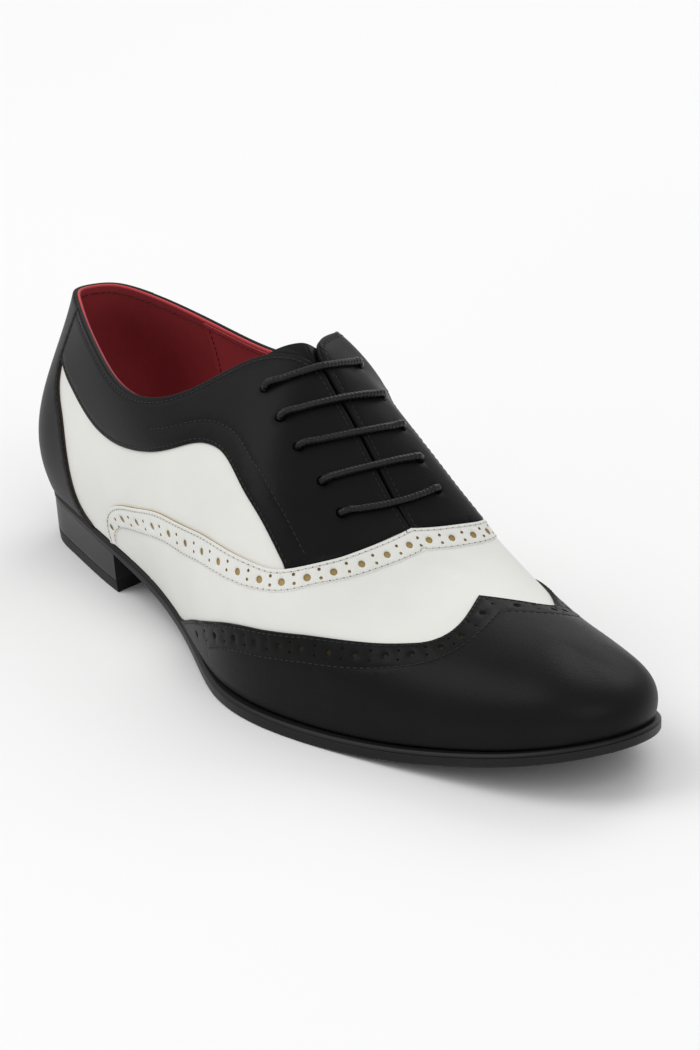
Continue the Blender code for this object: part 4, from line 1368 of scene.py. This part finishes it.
def threads():
    """Every row of stitches, with dark marks of painted shade for the needle holes of the white strip."""
    facing = [line for seam in facing_seams() for line in (seam, mirrored(seam))]
    black = []
    for seams, top in ((facing, FACING_TOP), (wing_seams(), WING_TOP), (counter_seams(), COUNTER_TOP)):
        black += [stitch_row(line, top - STITCH_SINK, STITCH_PITCH) for line in seams]
    stitches("black_stitches", black, LOOK["black_thread"])

    def sunk(spots):
        return strip_top(spots) - STITCH_SINK

    white = [stitch_row(line, sunk, STITCH_PITCH) for line in strip_seams()]
    stitches("white_stitches", white, LOOK["white_thread"])
    # Dark marks between the white stitches: painted shade of the needle holes
    marks = [stitch_row(line, sunk, STITCH_PITCH, True) for line in strip_seams()]
    stitches("needle_marks", marks, LOOK["needle_hole_shade"], NEEDLE_SIZE)
    rim = inset(cut_border(np.linspace(LINING_RIM_ROW, 0, 300)), LINING_RIM_SEAM)
    seam = even(np.array([(FRONT_SEAM_ROW, v) for v in FRONT_SEAM_ENDS]), FRONT_STEPS[1])
    inner = [stitch_row(line, LINING_THREAD, STITCH_PITCH)
             for line in (rim, mirrored(rim), seam, mirrored(seam))]
    stitches("lining_stitches", inner, LOOK["red_thread"])


def crest(rows, depth):
    """Middle line of the tongue: the ridge, drawn on past the top of the slot in a drooping arc."""
    start = LATERAL_CORNER[2]
    past = np.clip((start - rows) / (start - TONGUE_ROW), 0, 1)
    at = np.maximum(rows, start)
    line = (ridge_point(at, True) + ridge_point(at, False)) / 2
    slope = ridge_slope(line[:, 0])
    line[:, 0] -= TONGUE_REACH * past
    line[:, 2] -= slope * TONGUE_REACH * past + TONGUE_DROOP * past ** 2
    return line - unit(np.stack([-slope, 0 * slope, 1 + 0 * slope], 1)) * depth[:, None]


def slab(top, under):
    """Points and faces of a closed plate between two grids of points."""
    nu, nv = top.shape[:2]
    back = nu * nv
    faces = grid_faces(nu, nv, False)
    faces += [tuple(i + back for i in f[::-1]) for f in faces]
    rim = [j for j in range(nv)] + [i * nv + nv - 1 for i in range(1, nu)]
    rim += [(nu - 1) * nv + j for j in range(nv - 2, -1, -1)] + [i * nv for i in range(nu - 2, 0, -1)]
    for a, b in zip(rim, rim[1:] + rim[:1]):
        faces.append((b, a, a + back, b + back))
    return np.concatenate([top.reshape(-1, 3), under.reshape(-1, 3)]), faces


def tongue():
    """Black tongue, lying deeper under the facings so that the lace has room behind them."""
    rows = np.linspace(TONGUE_FOOT_ROW, TONGUE_ROW, 110)
    at_foot, gain = TONGUE_WIDTH
    start = 1 - (at_foot + gain * ease((TONGUE_WIDE_ROW - rows) / TONGUE_BLENDS[0]))[:, None]
    v = start + (1 - start) * np.linspace(0, 1, 5)[None, :]
    side = rows[:, None] + 0 * v
    short = side[:1] + (side - side[:1]) * (side[0, 0] - TONGUE_MEDIAL_ROW) / (side[0, 0] - TONGUE_ROW)
    push = TONGUE_PUSH * ease((rows - TONGUE_PUSH_ROW) / TONGUE_BLENDS[1])
    edge = np.array(TONGUE_EDGE)
    across = np.concatenate([edge, np.linspace(*TONGUE_FIELD, 50), 1 - edge[::-1]])
    grids = []
    for layer in (0, TONGUE_THICK):
        depth = WALL + TONGUE_GAP + push + layer
        middle = crest(rows, depth)
        halves = []
        for places in (side, LOOP - short):
            half = skin(places, v) - outward(places, v) * depth[:, None, None]
            span = np.linalg.norm(middle - half[:, -1], axis=1)
            arch = (half[:, -1] + middle) / 2
            arch[:, 2] += TONGUE_CROWN * span
            halves.append(np.concatenate([half, arch[:, None]], 1))
        ribs_of = np.concatenate([halves[0], middle[:, None], halves[1][:, ::-1]], 1)
        grids.append(np.array([spline(np.linspace(0, 1, 13), rib, across) for rib in ribs_of]))
    top, under = grids
    points, faces = slab(top, under)
    half = len(grid_faces(*top.shape[:2], False))
    index = np.zeros(len(faces), int)
    index[half:2 * half] = 1
    piece = mesh_object("tongue_leather", points, faces, [LOOK["black_leather"], LOOK["red_lining"]], index)
    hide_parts("tongue")


def capped(loops, cross=10):
    """Points and faces of closed loops stacked from bottom to top, both ends closed by cross strips."""
    count = len(loops[0])
    points = list(np.concatenate(loops))
    faces = grid_faces(len(loops), count, True)
    for base, turn in ((0, True), ((len(loops) - 1) * count, False)):
        loop = loops[0] if turn else loops[-1]
        before = None
        for i in range(1, count // 2):
            left, right = base + i, base + count - i
            share = np.linspace(0, 1, cross + 1)[1:-1, None]
            first = len(points)
            points += list(loop[i] * (1 - share) + loop[count - i] * share)
            line = [left] + list(range(first, len(points))) + [right]
            strips = []
            if before is None:
                strips = [(base, line[k], line[k + 1]) for k in range(cross)]
            else:
                strips = [(before[k], line[k], line[k + 1], before[k + 1]) for k in range(cross)]
            faces += [s if not turn else s[::-1] for s in strips]
            before = line
        tip = base + count // 2
        strips = [(before[k], tip, before[k + 1]) for k in range(cross)]
        faces += [s if not turn else s[::-1] for s in strips]
    return np.array(points), faces


def sole_loop(rows, grow, height, lift):
    """Closed loop beside the feather line, grown outward, at a height of the sole."""
    plan, inward = feather(rows)
    p = plan - inward * np.reshape(grow, (-1, 1))
    return np.column_stack([p, height(p[:, 0]) + lift])


def sole():
    """Outsole with a bevelled ledge, a fine groove and rounded edges, and the sock over the insole."""
    rows = np.arange(0, LOOP, 0.125)
    ledge = shape(rows)[:, 4]
    loops = [sole_loop(rows, ledge + grow, sole_under, lift) for grow, lift in SOLE_LOW]
    loops += [sole_loop(rows, ledge + grow, sole_top, lift) for grow, lift in SOLE_HIGH]
    piece = mesh_object("sole", *capped(loops), [LOOK["sole_black"]], sharp=40)
    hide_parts("outsole")
    rows = np.arange(0, LOOP, 0.25)
    inner = [sole_loop(rows, -INSOLE_INSET - away, sole_top, SEAT_GAP + lift) for away, lift in SOCK_EDGE]
    sock = mesh_object("insole_sock", *capped(inner), [LOOK["red_lining"]])
    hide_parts("insole")


def heel_loop(grow, height, lift):
    """Closed loop of the heel: round the back, then along the hollow breast."""
    rows = np.linspace(-HEEL_ROW, HEEL_ROW, 121)
    plan, inward = feather(rows)
    p = plan - inward * (shape(rows)[:, 4] + grow)[:, None]
    share = np.linspace(0, 1, 33)[1:-1, None]
    breast = p[-1] * (1 - share) + p[0] * share
    breast[:, 0] -= BREAST_HOLLOW * (1 - (2 * share[:, 0] - 1) ** 2)
    p = np.concatenate([p, breast])
    z = height(p[:, 0]) if callable(height) else np.full(len(p), height)
    return np.column_stack([p, z + lift])


def heel_layer(name, loops, material, node):
    """Layer of the heel through a stack of loops."""
    count = len(loops[0])
    faces = [f[::-1] for f in grid_faces(len(loops), count, True)]
    faces += [tuple(range(count)), tuple(range((len(loops) - 1) * count, len(loops) * count))[::-1]]
    piece = mesh_object(name, np.concatenate(loops), faces, [material], sharp=35)
    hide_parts(node)


def heel():
    """Stacked heel and its rubber top piece."""
    high = -HEEL_INSET
    mid = -HEEL_INSET - HEEL_TAPER * TOP_PIECE_SHARE
    low = -HEEL_INSET - HEEL_TAPER
    under = [heel_loop(low + grow, 0.0, lift) for grow, lift in LIFT_LOW]
    under += [heel_loop(mid + grow, TOP_PIECE_HEIGHT, lift) for grow, lift in LIFT_HIGH]
    heel_layer("heel_lift", under, LOOK["heel_rubber"], "heel_top_piece")
    foot = heel_loop(mid, TOP_PIECE_HEIGHT, HEEL_ROUND)
    top = heel_loop(high, sole_under, -HEEL_ROUND)
    block = [heel_loop(mid - HEEL_JOINT, TOP_PIECE_HEIGHT, 0.0)]
    block += [foot * (1 - s) + top * s for s in np.linspace(0, 1, 7)]
    block += [heel_loop(high - HEEL_ROUND, sole_under, 0.0)]
    heel_layer("heel_stack", block, LOOK["heel_stack"], "heel_block")


def taut(points):
    """Straight cord over a curved face: the face's highest outline between the two ends."""
    chord = unit(points[-1] - points[0])
    reach = (points - points[0]) @ chord
    away = points - points[0] - reach[:, None] * chord
    up = unit(away[np.linalg.norm(away, axis=1).argmax()])
    high = away @ up
    hull = [0]
    for k in range(1, len(points)):
        while len(hull) > 1:
            i, j = hull[-2:]
            if (high[j] - high[i]) * (reach[k] - reach[i]) > (high[k] - high[i]) * (reach[j] - reach[i]):
                break
            hull.pop()
        hull.append(k)
    at = np.linspace(0, reach[-1], 11)
    return points[0] + at[:, None] * chord + np.interp(at, reach[hull], high[hull])[:, None] * up


def lace():
    """One waxed lace: straight bars over the slot, hidden runs inside, its ends behind the top eyelets."""
    def spot(number, medial):
        row, v, _ = LACING[number - 1]
        return np.array((row, 2 - v if medial else v))

    def bar(number, to_medial):
        row, v, ridge_row = LACING[number - 1]
        share = np.linspace(*BAR_SHARE, 40)
        lateral = np.stack([row + (ridge_row - row) * share, v + (1 - v) * share], 1)
        over = taut(np.concatenate([surface(lateral, BAR_HEIGHT), surface(mirrored(lateral), BAR_HEIGHT)]))
        return over if to_medial else over[::-1]

    def through(number, medial, inward):
        hole = np.repeat(spot(number, medial)[None], 3, 0)
        height = np.array(EYELET_PASS)
        return surface(hole, height if inward else height[::-1])

    def behind(first, last, medial, aside):
        share = np.linspace(*RUN_SHARE, 4)[:, None]
        line = spot(first, medial) * (1 - share) + spot(last, medial) * share
        line = moved(line, sideways(line, False) * aside * np.sin(np.pi * share))
        return surface(line, RUN_DEPTH)

    parts = []
    for first, last, medial, aside in LACE_ROUTE:
        parts += [behind(first, last, medial, aside), through(last, medial, False),
                  bar(last, not medial), through(last, not medial, True)]
    path = smooth_path(np.concatenate(parts), LACE_STEP)

    def braid(reach, angle):
        turn = BRAID_STRANDS * angle
        return BRAID_HEIGHT * np.cos(turn + reach * BRAID_TURN) * np.cos(turn - reach * BRAID_TURN)

    tube = cord(path, LACE_RADIUS - BRAID_HEIGHT, LACE_SIDES, braid)
    piece = mesh_object("lace", *tube, [LOOK["lace_cord"]], sharp=80)
    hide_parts(*("lace_bar_%d" % k for k in range(1, len(LACING) + 1)))


def camera():
    """Camera at the photograph's viewing angle and distance, framing the one shoe."""
    a, e, roll = (math.radians(k) for k in (VIEW_AZIMUTH, VIEW_ELEVATION, VIEW_ROLL))
    right = np.array((math.cos(a), math.sin(a), 0))
    up = np.array((-math.sin(a) * math.sin(e), math.cos(a) * math.sin(e), math.cos(e)))
    back = np.array((math.sin(a) * math.cos(e), -math.cos(a) * math.cos(e), math.sin(e)))
    eye = on_frame(VIEW_CENTRE + back * VIEW_DISTANCE - right * VIEW_OFFSET[0] - up * VIEW_OFFSET[1])
    right, up = right * math.cos(roll) - up * math.sin(roll), right * math.sin(roll) + up * math.cos(roll)
    shown = [o for o in bpy.data.objects if o.type == "MESH" and not o.hide_render]
    points = np.concatenate([np.array([v.co[:] for v in o.data.vertices]) for o in shown]) - eye
    for _ in range(3):
        depth = -points @ back
        spread = np.stack([points @ right / depth, points @ up / depth], 1)
        middle = (spread.min(0) + spread.max(0)) / 2
        back = unit(back - right * middle[0] - up * middle[1])
        right = unit(right - back * (right @ back))
        up = np.cross(back, right)
    half = (spread.max(0) - spread.min(0))[0] / 2
    data = bpy.data.cameras.new("camera")
    data.sensor_width = SENSOR
    data.lens = SENSOR / 2 * IMAGE_SIZE[0] / IMAGE_SIZE[1] * FRAME_FILL / half
    obj = bpy.data.objects.new("camera", data)
    turn = np.stack([right, up, back], 1).tolist()
    obj.matrix_world = Matrix([[*axes, p] for axes, p in zip(turn, eye)] + [[0, 0, 0, 1]])
    bpy.context.scene.collection.objects.link(obj)
    bpy.context.scene.camera = obj


def area_light(name, place_at, target, size, power):
    """Soft square studio light aimed at a point."""
    data = bpy.data.lights.new(name, "AREA")
    data.size = size
    data.energy = power
    obj = bpy.data.objects.new(name, data)
    obj.location = place_at
    obj.rotation_euler = (Vector(target) - Vector(place_at)).to_track_quat("-Z", "Y").to_euler()
    bpy.context.scene.collection.objects.link(obj)


def studio():
    """Pale floor, soft sky and large soft lights."""
    mesh = bpy.data.meshes.new("floor")
    corners = [(x * FLOOR_HALF, y * FLOOR_HALF, 0) for x, y in ((-1, -1), (1, -1), (1, 1), (-1, 1))]
    mesh.from_pydata(corners, [], [(0, 1, 2, 3)])
    floor = bpy.data.objects.new("floor", mesh)
    mesh.materials.append(surface_material("floor_paper", *FLOOR_PAPER, broad=FLOOR_BROAD))
    bpy.context.scene.collection.objects.link(floor)
    world = bpy.data.worlds.new("studio")
    world.use_nodes = True
    sky = world.node_tree.nodes["Background"]
    sky.inputs["Color"].default_value = (1, 1, 1, 1)
    sky.inputs["Strength"].default_value = SKY_STRENGTH
    scene = bpy.context.scene
    scene.world = world
    scene.view_settings.view_transform = "Standard"
    for name, place_at, size, power in LIGHTS:
        area_light(name, place_at, AIM, size, power)


upper()
lining()
facings()
wing()
strip()
counter()
lining_front()
threads()
tongue()
sole()
heel()
lace()
camera()
studio()
